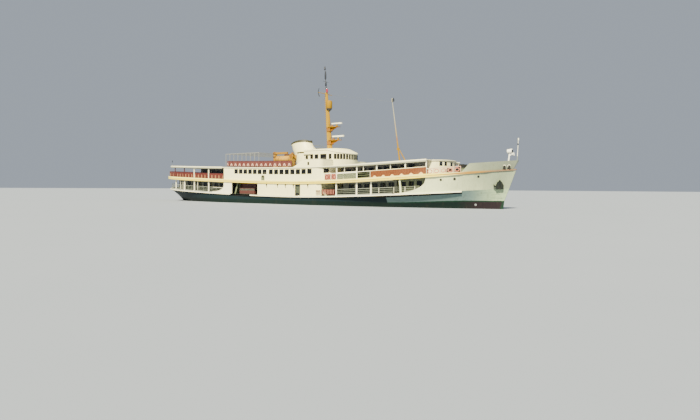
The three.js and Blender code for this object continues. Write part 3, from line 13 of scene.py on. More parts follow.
import bmesh
import bpy
from mathutils import Matrix, Vector
from mathutils.bvhtree import BVHTree

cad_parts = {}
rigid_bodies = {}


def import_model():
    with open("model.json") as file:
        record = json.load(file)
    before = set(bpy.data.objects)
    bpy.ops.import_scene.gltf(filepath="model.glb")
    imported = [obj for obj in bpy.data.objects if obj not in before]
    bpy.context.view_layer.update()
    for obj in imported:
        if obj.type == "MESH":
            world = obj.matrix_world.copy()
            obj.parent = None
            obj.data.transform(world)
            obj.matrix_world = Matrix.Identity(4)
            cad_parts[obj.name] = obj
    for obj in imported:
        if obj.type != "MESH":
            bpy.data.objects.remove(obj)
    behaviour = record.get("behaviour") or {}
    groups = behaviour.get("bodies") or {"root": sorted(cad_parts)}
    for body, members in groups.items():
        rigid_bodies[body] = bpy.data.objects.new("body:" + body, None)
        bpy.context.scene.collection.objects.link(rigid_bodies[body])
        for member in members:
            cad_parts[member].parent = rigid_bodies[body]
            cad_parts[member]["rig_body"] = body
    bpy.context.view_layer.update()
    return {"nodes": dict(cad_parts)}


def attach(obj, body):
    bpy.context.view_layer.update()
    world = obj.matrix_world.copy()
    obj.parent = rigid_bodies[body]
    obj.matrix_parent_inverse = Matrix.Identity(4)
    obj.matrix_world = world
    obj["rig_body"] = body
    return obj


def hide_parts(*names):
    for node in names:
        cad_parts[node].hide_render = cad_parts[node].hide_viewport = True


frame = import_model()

Point = tuple[float, float, float]
Flat = tuple[float, float]
Plan = list[Flat]
Colour = tuple[float, float, float]
Heights = Callable[[float], float]

LOG = logging.getLogger("ferry")
SCALE = 0.5
AHEAD, ACROSS, UP = (1, 0, 0), (0, 1, 0), (0, 0, 1)
BOTH_SIDES = (-1, 1)
STATIONS = [3.0 * s for s in range(-12, 13)]
SMOOTH = 35.0
SLAB = 0.15
RAIL_INSET = 0.3


# Lines of the ship.


@dataclass(frozen=True)
class DeckLine:
    """A deck's height along the ship, straight between stations three metres apart."""

    low: float
    at: float
    aft: float
    fore: float
    aft_power: float
    fore_power: float
    half_length: float = 36.65
    step: float = 3.0

    def curve(self, x: float) -> float:
        """The smooth height at X, before it is straightened between stations."""
        if x < self.at:
            return self.low + self.aft * ((self.at - x) / (self.half_length + self.at)) ** self.aft_power
        return self.low + self.fore * ((x - self.at) / (self.half_length - self.at)) ** self.fore_power

    def height(self, x: float) -> float:
        """The deck's height at X."""
        station = math.floor(x / self.step) * self.step
        share = (x - station) / self.step
        return self.curve(station) * (1 - share) + self.curve(station + self.step) * share

    def above(self, rise: float) -> Heights:
        """The height line at a rise above the deck."""
        return lambda x: self.height(x) + rise


@dataclass(frozen=True)
class PlanLine:
    """Half-breadth of a deck edge along the ship."""

    aft: float
    fore: float
    run: float
    entry: float
    run_power: float
    entry_power: float
    half: float = 6.6

    def half_breadth(self, x: float) -> float:
        """Half-breadth at X."""
        aft = min(1.0, max(0.0, (self.run - x) / (self.run - self.aft)))
        fore = min(1.0, max(0.0, (x - self.entry) / (self.fore - self.entry)))
        return self.half * math.sqrt(1 - aft**self.run_power) * (1 - fore**self.entry_power)

    def starboard(self, x: float, inset: float) -> float:
        """Y at X on the starboard side, inside the edge by an inset."""
        return -max(0.02, self.half_breadth(x) - inset)


MAIN = DeckLine(1.38, 2, 1.23, 1.51, 1.7, 1.7)
UPPER = DeckLine(3.58, 3, 1.23, 1.76, 1.5, 1.7)
ROOF = DeckLine(6.02, 6, 1.11, 1.35, 1.5, 1.5)
MAIN_EDGE = PlanLine(-36.1, 35.45, -18, 8, 4, 2.8)
UPPER_EDGE = PlanLine(-36.65, 36.3, -20, 12, 4, 3)
ROOF_EDGE = PlanLine(-35.6, 36, -24, 12, 3, 3)


def row(start: float, end: float, count: int) -> list[float]:
    """Evenly spaced values, both ends included."""
    return [start + (end - start) * i / max(1, count - 1) for i in range(count)]


def mix(a: float, b: float, share: float) -> float:
    """A value between a and b."""
    return a + (b - a) * share


def circle(sides: int) -> list[Flat]:
    """Cosine and sine of evenly spaced bearings."""
    return [(math.cos(2 * math.pi * k / sides), math.sin(2 * math.pi * k / sides)) for k in range(sides)]


def side_path(edge: PlanLine, start: float, end: float, inset: float = RAIL_INSET) -> Plan:
    """Plan points along the starboard edge of a deck, from aft to fore, inside it by an inset."""
    xs = {start, end, *(x for x in STATIONS if start + 0.05 < x < end - 0.05)}
    return [(x, edge.starboard(x, inset)) for x in sorted(xs)]


def stern_path(edge: PlanLine, end: float, inset: float = RAIL_INSET) -> Plan:
    """Plan points from the port side's fore end round the stern to the starboard side's."""
    start = edge.aft + inset + 0.01
    xs = {start, end, *(start + d for d in (0.12, 0.45, 1.1, 2.1))}
    xs |= {x for x in STATIONS if start + 0.05 < x < end - 0.05}
    side = [(x, edge.starboard(x, inset)) for x in sorted(xs)]
    return round_the_end(side)


def round_the_end(side: Plan) -> Plan:
    """A starboard path led on from its mirror image, which comes first and runs the other way."""
    return [(x, -y) for x, y in reversed(side)] + side


@dataclass
class Track:
    """A plan path with its run length, for fittings placed along it."""

    path: Plan
    line: DeckLine
    runs: list[float] = field(default_factory=list)

    def __post_init__(self) -> None:
        """Adds up the run length at each point."""
        self.runs = [0.0]
        for (ax, ay), (bx, by) in zip(self.path, self.path[1:]):
            self.runs.append(self.runs[-1] + math.hypot(bx - ax, by - ay))

    @property
    def length(self) -> float:
        """The whole run length."""
        return self.runs[-1]

    def run_at(self, x: float) -> float:
        """Run length where the path first reaches X."""
        for i, (bx, _) in enumerate(self.path):
            if i and bx >= x:
                ax = self.path[i - 1][0]
                return mix(self.runs[i - 1], self.runs[i], (x - ax) / (bx - ax))
        return self.length

    def at(self, run: float, rise: float, out: float = 0.0) -> Point:
        """The point at a run length.

        Args:
            run: distance along the path.
            rise: height above the deck.
            out: distance to the outboard side, which lies to the right of the path's direction.

        Returns:
            The point in ship coordinates.
        """
        run = min(self.length, max(0.0, run))
        i = max(1, next((k for k, r in enumerate(self.runs) if r >= run), len(self.runs) - 1))
        (ax, ay), (bx, by) = self.path[i - 1], self.path[i]
        size = max(1e-6, self.runs[i] - self.runs[i - 1])
        share = (run - self.runs[i - 1]) / size
        tx, ty = (bx - ax) / size, (by - ay) / size
        x, y = mix(ax, bx, share), mix(ay, by, share)
        return (x + ty * out, y - tx * out, self.line.height(x) + rise)


# Meshes.


def place(name: str, mesh: bpy.types.Mesh, material: bpy.types.Material) -> bpy.types.Object:
    """Makes an object of a mesh, and puts it in the scene."""
    made = bpy.data.objects.new(name, mesh)
    bpy.context.scene.collection.objects.link(made)
    mesh.materials.append(material)
    return made


def soften(work: bmesh.types.BMesh, angle: float) -> None:
    """Shades faces smooth where they meet at less than an angle in degrees."""
    limit = math.radians(angle)
    for face in work.faces:
        face.smooth = True
    for edge in work.edges:
        edge.smooth = len(edge.link_faces) == 2 and edge.calc_face_angle(0) < limit


class Shape:
    """Collects closed bodies in full-size metres and turns them into one object of the model."""

    def __init__(self, name: str) -> None:
        """Starts an empty shape."""
        self.name = name
        self.verts: list[Point] = []
        self.faces: list[tuple[int, ...]] = []

    def loft(self, rings: Sequence[Sequence[Point]], closed: bool = False) -> "Shape":
        """Skins rings of equally many points; closed joins the last ring to the first."""
        count, base = len(rings[0]), len(self.verts)
        last = (len(rings) - 1) * count
        for a in range(0, last + count if closed else last, count):
            b = (a + count) % (last + count)
            self.faces += [tuple(base + k for k in (a + i, a + j, b + j, b + i)) for i, j in ring_steps(count)]
        if not closed:
            ends = range(base + count - 1, base - 1, -1), range(base + last, base + last + count)
            self.faces += [tuple(end) for end in ends]
        self.verts += [tuple(p) for ring in rings for p in ring]
        return self

    def box(self, low: Point, high: Point) -> "Shape":
        """Adds a box between two corners."""
        (x0, y0, z0), (x1, y1, z1) = low, high
        return self.loft([[(x0, y0, z), (x1, y0, z), (x1, y1, z), (x0, y1, z)] for z in (z0, z1)])

    def beam(self, start: Point, end: Point, width: float, height: float, up: Point = UP) -> "Shape":
        """Adds a square bar between two points.

        Args:
            start: first end.
            end: second end.
            width: size across, square to up.
            height: size along up.
            up: direction of the height, about.

        Returns:
            The shape.
        """
        a, b = Vector(start), Vector(end)
        along = (b - a).normalized()
        side = along.cross(Vector(up))
        side = (side if side.length > 1e-4 else along.cross(Vector(AHEAD))).normalized() * width / 2
        rise = side.cross(along).normalized() * height / 2
        ring = [side + rise, rise - side, -side - rise, side - rise]
        return self.loft([[tuple(spot + v) for v in ring] for spot in (a, b)])

    def post(self, x: float, y: float, low: float, high: float, width: float) -> "Shape":
        """Adds an upright square bar."""
        return self.beam((x, y, low), (x, y, high), width, width, AHEAD)

    def tube(self, points: Sequence[Point], radius: float, end_radius: float = 0.0, sides: int = 6) -> "Shape":
        """Adds a round bar along points, which tapers if it has another radius at its end."""
        spots = [Vector(p) for p in points]
        last = len(spots) - 1
        rings = []
        normal = Vector()
        for i, spot in enumerate(spots):
            along = (spots[min(i + 1, last)] - spots[max(i - 1, 0)]).normalized()
            if not i:
                normal = along.orthogonal().normalized()
            normal = (normal - along * normal.dot(along)).normalized()
            across = along.cross(normal)
            r = mix(radius, end_radius or radius, i / last)
            rings.append([tuple(spot + (normal * c + across * s) * r) for c, s in circle(sides)])
        return self.loft(rings)

    def lathe(self, profile: Sequence[Flat], origin: Point, axis: Point = UP, sides: int = 20) -> "Shape":
        """Adds a turned body: profile holds radius and distance along the axis."""
        along = Vector(axis).normalized()
        u = along.orthogonal().normalized()
        v = along.cross(u)
        rings = []
        for radius, run in profile:
            r = max(radius, 0.0005)
            rings.append([tuple(Vector(origin) + along * run + (u * c + v * s) * r) for c, s in circle(sides)])
        return self.loft(rings)

    def prism(self, outline: Sequence[Point], shift: Point) -> "Shape":
        """Extrudes a flat outline by a vector."""
        return self.loft([outline, [tuple(Vector(p) + Vector(shift)) for p in outline]])

    def strake(self, path: Plan, inner: float, outer: float, low: Heights, high: Heights) -> "Shape":
        """Adds a band along a plan path, between two distances right of it and two height lines."""
        rings = []
        for i, (x, y) in enumerate(path):
            (ax, ay), (bx, by) = path[max(i - 1, 0)], path[min(i + 1, len(path) - 1)]
            size = max(1e-6, math.hypot(bx - ax, by - ay))
            nx, ny = (by - ay) / size, -(bx - ax) / size
            near, far = (x + nx * inner, y + ny * inner), (x + nx * outer, y + ny * outer)
            rings.append([(*near, low(x)), (*far, low(x)), (*far, high(x)), (*near, high(x))])
        return self.loft(rings)

    def mirrored(self) -> "Shape":
        """Adds the same bodies on the other side of the ship."""
        count = len(self.verts)
        self.faces += [tuple(i + count for i in reversed(face)) for face in self.faces]
        self.verts += [(x, -y, z) for x, y, z in self.verts]
        return self

    def build(self, finish: "Coating | Finish", body: str = "ship", bevel: float = 0.0) -> None:
        """Makes the object.

        Args:
            finish: its finish.
            body: the body that it moves with.
            bevel: width of a rounded edge in full-size metres, or 0.
        """
        mesh = bpy.data.meshes.new(self.name)
        mesh.from_pydata([tuple(c * SCALE for c in v) for v in self.verts], [], self.faces)
        work = bmesh.new()
        work.from_mesh(mesh)
        bmesh.ops.recalc_face_normals(work, faces=work.faces)
        if bevel:
            sharp = [e for e in work.edges if len(e.link_faces) == 2 and e.calc_face_angle(0) > 0.6]
            bmesh.ops.bevel(work, geom=sharp, offset=bevel * SCALE, segments=1, affect="EDGES", clamp_overlap=True)
        soften(work, SMOOTH)
        work.to_mesh(mesh)
        work.free()
        made = place(self.name, mesh, finish.material)
        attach(made, body)


def shapes(*names: str) -> list[Shape]:
    """Empty shapes."""
    return [Shape(name) for name in names]


def ring_steps(count: int) -> list[tuple[int, int]]:
    """Each place on a ring with the next one."""
    return [(i, (i + 1) % count) for i in range(count)]


def skin(node: str, finish: "Coating | Finish", angle: float, line: Optional[DeckLine] = None) -> None:
    """Stands for a CAD node with the same shape, softly shaded.

    Args:
        node: the CAD node.
        finish: its finish.
        angle: edges flatter than this are shaded smooth.
        line: deck line from which heights are stored for the material, as attribute "rise".
    """
    source = frame["nodes"][node]
    work = bmesh.new()
    work.from_mesh(source.data)
    bmesh.ops.remove_doubles(work, verts=work.verts, dist=1e-5)
    soften(work, angle)
    mesh = bpy.data.meshes.new(node + "_skin")
    work.to_mesh(mesh)
    work.free()
    if "custom_normal" in mesh.attributes:
        mesh.attributes.remove(mesh.attributes["custom_normal"])
    if line is not None:
        rise = mesh.attributes.new("rise", "FLOAT", "POINT")
        rise.data.foreach_set("value", [v.co.z / SCALE - line.height(v.co.x / SCALE) for v in mesh.vertices])
    made = place(node + "_skin", mesh, finish.material)
    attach(made, source["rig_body"])
    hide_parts(node)


# Materials.


class Value:
    """A number, vector or colour in a shader tree, with the usual arithmetic."""

    def __init__(self, graph: "Graph", socket: bpy.types.NodeSocket) -> None:
        """Wraps an output socket."""
        self.graph = graph
        self.socket = socket

    def __add__(self, other: object) -> "Value":
        """The sum."""
        return self.graph.math("ADD", self, other)

    def __sub__(self, other: object) -> "Value":
        """The difference."""
        return self.graph.math("SUBTRACT", self, other)

    def __rsub__(self, other: object) -> "Value":
        """The difference from a number."""
        return self.graph.math("SUBTRACT", other, self)

    def __mul__(self, other: object) -> "Value":
        """The product."""
        return self.graph.math("MULTIPLY", self, other)

    def __truediv__(self, other: object) -> "Value":
        """The quotient."""
        return self.graph.math("DIVIDE", self, other)

    def __abs__(self) -> "Value":
        """The size."""
        return self.graph.math("ABSOLUTE", self)

    def clamped(self) -> "Value":
        """The value of a math node, held between 0 and 1."""
        self.socket.node.use_clamp = True
        return self


Layer = dict[str, Value]


class Graph:
    """Adds nodes to a shader tree."""

    def __init__(self, tree: bpy.types.NodeTree) -> None:
        """Takes the tree to fill."""
        self.tree = tree

    def node(self, kind: str, values: Optional[dict[str | int, object]] = None, **settings: object) -> bpy.types.Node:
        """Adds a node.

        Args:
            kind: Blender's node type.
            values: numbers, colours or other nodes' values, by input name or number.
            settings: attributes of the node.

        Returns:
            The node.
        """
        made = self.tree.nodes.new(kind)
        for name, value in settings.items():
            setattr(made, name, value)
        for key, value in (values or {}).items():
            self.feed(made.inputs[key], value)
        return made

    def feed(self, socket: bpy.types.NodeSocket, value: object) -> None:
        """Links a value to a socket, or sets the socket."""
        if isinstance(value, Value):
            self.tree.links.new(value.socket, socket)
        elif socket.type == "RGBA" and len(value) == 3:
            socket.default_value = (*value, 1.0)
        else:
            socket.default_value = value

    def take(self, node: bpy.types.Node, output: str | int = 0) -> Value:
        """One output of a node."""
        return Value(self, node.outputs[output])

    def math(self, operation: str, a: object, b: object = 0.0) -> Value:
        """A math node's result."""
        return self.take(self.node("ShaderNodeMath", {0: a, 1: b}, operation=operation))

    def blend(self, share: object, a: object, b: object) -> Value:
        """A colour between a and b."""
        return self.take(self.node("ShaderNodeMix", {0: share, 6: a, 7: b}, data_type="RGBA"), 2)

    def layers(self, base: object, *coats: tuple[object, object]) -> object:
        """Colours laid one over another, each given as its share and itself."""
        for share, colour in coats:
            base = self.blend(share, base, colour)
        return base

    def step(self, value: object, start: float, end: float) -> Value:
        """A smooth step from 0 at start to 1 at end."""
        values = {0: value, 1: start, 2: end}
        return self.take(self.node("ShaderNodeMapRange", values, interpolation_type="SMOOTHSTEP"))

    def parts(self, vector: Value) -> list[Value]:
        """A vector's three parts."""
        made = self.node("ShaderNodeSeparateXYZ", {0: vector})
        return [self.take(made, axis) for axis in range(3)]

    def noise(
        self, vector: Value, scale: float, detail: float, stretch: Point = (1, 1, 1), rough: float = 0.55
    ) -> Value:
        """Noise over stretched coordinates."""
        spread = self.take(self.node("ShaderNodeVectorMath", {0: vector, 1: stretch}, operation="MULTIPLY"))
        values = {"Vector": spread, "Scale": scale, "Detail": detail, "Roughness": rough}
        return self.take(self.node("ShaderNodeTexNoise", values))

    def group(self, effect: "Effect", **values: object) -> Layer:
        """Places a shared node group, and returns its outputs by name."""
        made = self.node("ShaderNodeGroup", values, node_tree=effect.tree())
        return {label: self.take(made, label) for label in effect.outputs}


@dataclass(frozen=True)
class Effect:
    """A node group that several finishes share, built on first use.

    Its sockets are given as names with their kinds, and fill turns the inputs into the outputs.
    """

    name: str
    inputs: dict[str, str]
    outputs: dict[str, str]
    fill: Callable[[Graph, Layer], Layer]
    made: ClassVar[dict[str, bpy.types.NodeTree]] = {}

    def tree(self) -> bpy.types.NodeTree:
        """The group's tree."""
        if self.name not in Effect.made:
            tree = Effect.made[self.name] = bpy.data.node_groups.new(self.name, "ShaderNodeTree")
            for way, sockets in (("INPUT", self.inputs), ("OUTPUT", self.outputs)):
                for label, kind in sockets.items():
                    tree.interface.new_socket(label, in_out=way, socket_type="NodeSocket" + kind)
            graph = Graph(tree)
            given, out = graph.node("NodeGroupInput"), graph.node("NodeGroupOutput")
            for label, value in self.fill(graph, {label: graph.take(given, label) for label in self.inputs}).items():
                graph.feed(out.inputs[label], value)
        return Effect.made[self.name]


def weathered(g: Graph, given: Layer) -> Layer:
    """Faded patches, dirt that runs down a side and rust blooms, over a paint colour."""
    where = given["Vector"]
    patch = g.step(g.noise(where, 1.1, 5), 0.42, 0.66)
    runs = g.step(g.noise(where, 7.0, 6, (1, 1, 0.07)), 0.53, 0.74)
    grime = g.step(g.noise(where, 26.0, 4, (1, 1, 0.5)), 0.5, 0.8)
    bloom = g.step(g.noise(where, 9.0, 7, (1, 1, 0.45), 0.7), 0.66, 0.74)
    dirty = ((runs + grime * 0.35) * given["Dirt"]).clamped()
    rusty = (bloom * given["Rust"]).clamped()
    coats = (patch * 0.35, given["Faded"]), (dirty, given["Stain"]), (rusty, (0.22, 0.085, 0.03))
    rough = (given["Roughness"] + (dirty + rusty) * 0.25 + patch * 0.06).clamped()
    return {"Color": g.layers(given["Paint"], *coats), "Roughness": rough, "Height": grime * 0.3 + rusty}


def plated(g: Graph, given: Layer) -> Layer:
    """Welded butts and the ripple of thin plating between its frames."""
    along = g.parts(given["Vector"])[0]
    hollow = 1.0 - g.step(g.math("PINGPONG", along, 0.3), 0.0, 0.28)
    butt = g.step(g.math("PINGPONG", along, 1.5), 0.012, 0.0)
    return {"Height": hollow * 0.22 + butt * 0.3 + g.noise(given["Vector"], 2.2, 3), "Seam": butt}


def planked(g: Graph, given: Layer) -> Layer:
    """Deck planks laid fore and aft, with caulked seams and grain."""
    across = g.parts(given["Vector"])[1] / given["Width"]
    seam = g.step(g.math("PINGPONG", across, 0.5), 0.07, 0.02)
    plank = g.math("FLOOR", across + 0.5)
    tone = g.take(g.node("ShaderNodeTexWhiteNoise", {"W": plank}, noise_dimensions="1D"))
    grain = g.noise(given["Vector"], 30.0, 5, (0.12, 3.0, 1.0))
    coats = ((tone + grain) * 0.5, given["Light"]), (seam, (0.03, 0.028, 0.025))
    return {"Color": g.layers(given["Dark"], *coats), "Height": grain * 0.4 - seam}


COLOURS = {"Paint": "Color", "Faded": "Color", "Stain": "Color"}
AMOUNTS = {"Roughness": "Float", "Dirt": "Float", "Rust": "Float"}
RESULTS = {"Color": "Color", "Roughness": "Float", "Height": "Float"}
WEATHER = Effect("weather", {"Vector": "Vector", **COLOURS, **AMOUNTS}, RESULTS, weathered)
PLATING = Effect("plating", {"Vector": "Vector"}, {"Height": "Float", "Seam": "Float"}, plated)
TIMBER = {"Vector": "Vector", "Dark": "Color", "Light": "Color", "Width": "Float"}
PLANKS = Effect("planks", TIMBER, {"Color": "Color", "Height": "Float"}, planked)


class Surface(Graph):
    """A material being put together, with its shader and its coordinates."""

    def __init__(self, name: str) -> None:
        """Makes the material with an empty tree, a shader and its output."""
        self.material = bpy.data.materials.new(name)
        self.material.use_nodes = True
        super().__init__(self.material.node_tree)
        self.tree.nodes.clear()
        self.shader = self.node("ShaderNodeBsdfPrincipled")
        self.node("ShaderNodeOutputMaterial", {0: self.take(self.shader)})
        self.where = self.take(self.node("ShaderNodeTexCoord"), "Object")
        self.x, self.y, self.z = self.parts(self.where)

    @property
    def rise(self) -> Value:
        """Height above the piece's deck line, in full-size metres, as skin() stores it."""
        return self.take(self.node("ShaderNodeAttribute", attribute_name="rise"), "Fac")

    def set(self, **values: object) -> None:
        """Sets shader inputs; underscores in names stand for spaces."""
        for name, value in values.items():
            self.feed(self.shader.inputs[name.replace("_", " ")], value)

    def bump(self, height: Value, distance: float, strength: float = 0.5) -> None:
        """Feeds a height to the shader's normal."""
        values = {"Height": height, "Distance": distance, "Strength": strength}
        self.set(Normal=self.take(self.node("ShaderNodeBump", values)))

    def around(self, value: Value, middle: float, fade: float) -> Value:
        """A step at a full-size distance, faded over a distance in the model to each side."""
        return self.step(value, middle * SCALE - fade, middle * SCALE + fade)

    def between(self, value: Value, low: float, high: float) -> Value:
        """1 where a value in model metres lies between two full-size bounds, 0 elsewhere."""
        return self.around(value, low, 0.005) * self.around(value, high, -0.005)

    def plating(self) -> Layer:
        """The shared plating's relief and seams."""
        return self.group(PLATING, Vector=self.where)

    def weather(self, paint: object, faded: object, stain: Colour, rough: float, dirt: float, rust: float) -> Layer:
        """The shared weathering over a paint."""
        values = {"Paint": paint, "Faded": faded, "Stain": stain, "Roughness": rough, "Dirt": dirt, "Rust": rust}
        return self.group(WEATHER, Vector=self.where, **values)

    def finish(self, layer: Layer, distance: float = 0.003, ripple: float = 0.0, **values: object) -> None:
        """Feeds the shader.

        Args:
            layer: colour, roughness and height.
            distance: depth of the relief.
            ripple: weight of the plating's relief beside the layer's.
            values: other shader inputs.
        """
        height = self.plating()["Height"] * ripple + layer["Height"] if ripple else layer["Height"]
        self.set(**{"Base_Color": layer["Color"], "Roughness": layer["Roughness"], **values})
        self.bump(height, distance)


class Coating:
    """A finish whose material is made once."""

    name: str
    made: ClassVar[dict[str, bpy.types.Material]] = {}

    def mix(self, s: Surface) -> None:
        """Mixes the finish on a new surface."""
        raise NotImplementedError

    @property
    def material(self) -> bpy.types.Material:
        """The material, made on first use."""
        if self.name not in Coating.made:
            surface = Surface(self.name)
            self.mix(surface)
            Coating.made[self.name] = surface.material
        return Coating.made[self.name]


@dataclass(frozen=True)
class Paint(Coating):
    """Marine paint with its fading, runs of dirt and rust."""

    name: str
    colour: Colour
    faded: Colour
    stain: Colour
    roughness: float
    dirt: float
    rust: float
    coat: float = 0.0
    metallic: float = 0.0

    def mix(self, s: Surface) -> None:
        """Mixes the paint."""
        layer = s.weather(self.colour, self.faded, self.stain, self.roughness, self.dirt, self.rust)
        s.finish(layer, 0.004, Metallic=self.metallic, Coat_Weight=self.coat)


@dataclass(frozen=True)
class HouseWhite(Coating):
    """White paint of the superstructure, with painted shade on the walls under the canopy beside the fore promenade.
    """

    name: str = "house_white"
    warm: Colour = (0.96, 0.90, 0.52)
    faded: Colour = (0.66, 0.60, 0.38)
    stain: Colour = (0.36, 0.25, 0.12)
    seam: Colour = (0.46, 0.42, 0.26)
    # Painted shade: this dark grey stands for the canopy's shadow on the walls beside the fore promenade.
    promenade_shade: Colour = (0.19, 0.19, 0.175)
    promenade_shade_half: float = 4.34
    promenade_shade_run: Flat = (10.3, 25.3)

    def mix(self, s: Surface) -> None:
        """Mixes the paint."""
        # Painted shade on the promenade walls, inside these bounds.
        inside = s.between(s.x, *self.promenade_shade_run) * s.around(abs(s.y), self.promenade_shade_half, -0.005)
        paint = s.blend(inside, self.warm, self.promenade_shade)
        layer = s.weather(paint, s.blend(0.3, paint, self.faded), self.stain, 0.4, 0.12, 0.22)
        layer["Color"] = s.blend(s.plating()["Seam"] * 0.3, layer["Color"], self.seam)
        s.finish(layer, 0.004, 3.0)


@dataclass(frozen=True)
class FlankPaint(Coating):
    """Pale paint of the bow plating and bulwark; towards the stem a grey-green that is partly the paint and partly
    painted shade for the bow turning from the light, and painted shade inside the open deck.
    """

    name: str = "flank_paint"
    warm: Colour = (0.78, 0.83, 0.50)
    # Grey-green at the stem: partly the paint, partly painted shade where the bow turns from the light.
    stem_tone_and_shade: Colour = (0.235, 0.280, 0.195)
    bulwark: Colour = (0.205, 0.232, 0.172)
    staff: Colour = (0.80, 0.80, 0.66)
    # Painted shade inside the open deck's recess.
    promenade_shade: Colour = (0.13, 0.14, 0.10)
    faded: Colour = (0.40, 0.46, 0.28)
    stain: Colour = (0.13, 0.11, 0.06)

    def mix(self, s: Surface) -> None:
        """Mixes the paint."""
        cloud = (s.noise(s.where, 0.9, 3) - 0.5) * 2.0
        paint = s.layers(
            self.warm,
            # Towards the stem, paint and painted shade together; inside the recess, painted shade.
            (s.step(s.x + cloud, 12.6, 17.4), self.stem_tone_and_shade),
            (s.step(s.x, 12.9, 12.88) * s.step(abs(s.y), 2.20, 2.19), self.promenade_shade),
            (s.step(s.z - s.x * 0.075, 1.28, 1.36) * s.step(s.x, 14.0, 16.5), self.bulwark),
            (s.step(s.z, 3.53, 3.54), self.staff),
        )
        s.finish(s.weather(paint, s.blend(0.35, paint, self.faded), self.stain, 0.42, 0.25, 0.3), 0.005, 4.0)


@dataclass(frozen=True)
class MastPaint(Coating):
    """Yellow mast paint with a painted highlight in paler yellow down its after side, orange patches, and grey above a
    height.
    """

    name: str = "mast_paint"
    change: float = 18.85
    fade: float = 0.1
    yellow: Colour = (0.275, 0.152, 0.0010)
    # Painted highlight: a paler yellow for the mast's after side.
    pale: Colour = (0.37, 0.228, 0.012)
    orange: Colour = (0.235, 0.066, 0.0015)
    grey: Colour = (0.045, 0.045, 0.050)
    stain: Colour = (0.15, 0.04, 0.003)

    def mix(self, s: Surface) -> None:
        """Mixes the paint."""
        axis = 2.35 - (s.z - 4.65) * 0.085
        patch = (s.between(s.z, 9.9, 10.7) + s.between(s.z, 12.1, 12.9)).clamped()
        # The pale base is the painted highlight on the after side; the yellow covers the forward side.
        paint = s.layers(
            self.pale,
            (s.step(s.x - axis, -0.06, 0.10), self.yellow),
            (patch * s.step(s.noise(s.where, 4.0, 4), 0.38, 0.55) * 0.8, self.orange),
            (s.around(s.z, self.change, self.fade * SCALE), self.grey),
        )
        layer = s.weather(paint, paint, self.stain, 0.4, 0.3, 0.3)
        s.finish(layer, Roughness=layer["Roughness"] + 0.2, Specular_IOR_Level=0.15)


@dataclass(frozen=True)
class HullPaint(Coating):
    """The hull's paint areas: dark sides aft, pale green-grey forward, and the boot-top below."""

    name: str = "hull_sides"
    dark: Colour = (0.0058, 0.0162, 0.0210)
    dark_fleck: Colour = (0.016, 0.034, 0.034)
    pale: Colour = (0.125, 0.188, 0.188)
    pale_streak: Colour = (0.062, 0.115, 0.105)
    bow: Colour = (0.33, 0.42, 0.27)
    boot_dark: Colour = (0.0045, 0.0130, 0.0115)
    boot_red: Colour = (0.0155, 0.0105, 0.0140)
    boot_fleck: Colour = (0.050, 0.026, 0.021)
    edge_green: Colour = (0.006, 0.036, 0.020)
    shadow: Colour = (0.010, 0.0095, 0.0085)
    stain: Colour = (0.045, 0.035, 0.026)
    change: float = 19.5
    boot_top: float = 1.13
    boot_low: float = 0.72

    def mix(self, s: Surface) -> None:
        """Mixes the paint."""
        wobble = (s.noise(s.where, 4.0, 4, (1, 1, 2)) - 0.5) * 0.05
        line = s.step(s.x, 9.75, 15.5) * ((self.boot_top - self.boot_low) * SCALE) + self.boot_low * SCALE
        height = s.z + wobble - line
        forward = s.around(s.x, self.change, 0.02)
        streak = s.step(s.noise(s.where, 3.2, 6, (0.25, 1, 9)), 0.45, 0.68)
        fleck = s.step(s.noise(s.where, 11.0, 6, (0.5, 1, 2)), 0.62, 0.74)
        pale = s.layers(self.pale, (s.step(s.x, 15.2, 17.0), self.bow), (streak * 0.42, self.pale_streak))
        side = s.layers(self.dark, (fleck * 0.3, self.dark_fleck), (forward, pale))
        boot = s.layers(
            self.boot_dark,
            (s.step(s.x + s.noise(s.where, 2.0, 5) * 1.6, 15.2, 16.5), self.boot_red),
            (fleck * 0.35, self.boot_fleck),
            (s.step(height, -0.12, -0.03) * forward * 0.8, self.edge_green),
            (s.step(s.x - s.z * 0.32, 17.05, 17.22) * 0.75, self.edge_green),
        )
        above = s.step(height, -0.012, 0.012) * forward + s.step(s.z, 0.30, 0.38) * (1.0 - forward)
        shadow = s.between(s.x, 18.0, 30.0) * s.step(s.rise - s.x * 0.012, -0.60, -0.52)
        paint = s.layers(boot, (above.clamped(), side), (shadow, self.shadow))
        layer = s.weather(paint, paint, self.stain, 0.38, 0.32, 0.3)
        s.finish(layer, 0.005, 4.0, Roughness=layer["Roughness"] + 0.22, Specular_IOR_Level=0.15)


@dataclass(frozen=True)
class MouldingPaint(Coating):
    """The yellow double stripe along the upper deck's edge, which narrows and reddens to the bow."""

    name: str = "moulding_paint"
    cream: Colour = (0.92, 0.74, 0.09)
    top: Colour = (0.92, 0.82, 0.30)
    amber: Colour = (0.34, 0.17, 0.018)
    pale_band: Colour = (0.78, 0.68, 0.34)
    rose: Colour = (0.22, 0.125, 0.075)
    line: Colour = (0.095, 0.07, 0.012)
    under: Colour = (0.30, 0.20, 0.012)
    stain: Colour = (0.25, 0.15, 0.035)

    def mix(self, s: Surface) -> None:
        """Mixes the paint."""
        rise = s.rise + (s.noise(s.where, 6.0, 5) - 0.5) * 0.05
        fore = s.step(s.x, 12.6, 15.2)
        thread = s.math("MAXIMUM", s.step(abs(rise + 0.02), 0.13, 0.07), s.step(s.x, 14.4, 15.6))
        band = s.blend(thread, self.pale_band, self.amber)
        base = s.layers(self.cream, (fore, band), (s.step(s.x, 16.0, 17.2), self.rose))
        line = s.step(abs(rise + 0.03), 0.05, 0.028) * (1.0 - fore * 0.3)
        thin = s.step(s.noise(s.where, 3.0, 4), 0.3, 0.5) * 0.4 + 0.3
        paint = s.layers(
            base,
            (s.step(rise, 0.05, 0.2), self.top),
            (s.step(s.x, 11.8, 13.2), base),
            (line * thin, self.line),
            (s.step(rise, -0.2, -0.26) * (1.0 - fore) * 0.8, self.under),
        )
        s.finish(s.weather(paint, paint, self.stain, 0.4, 0.2, 0.2))


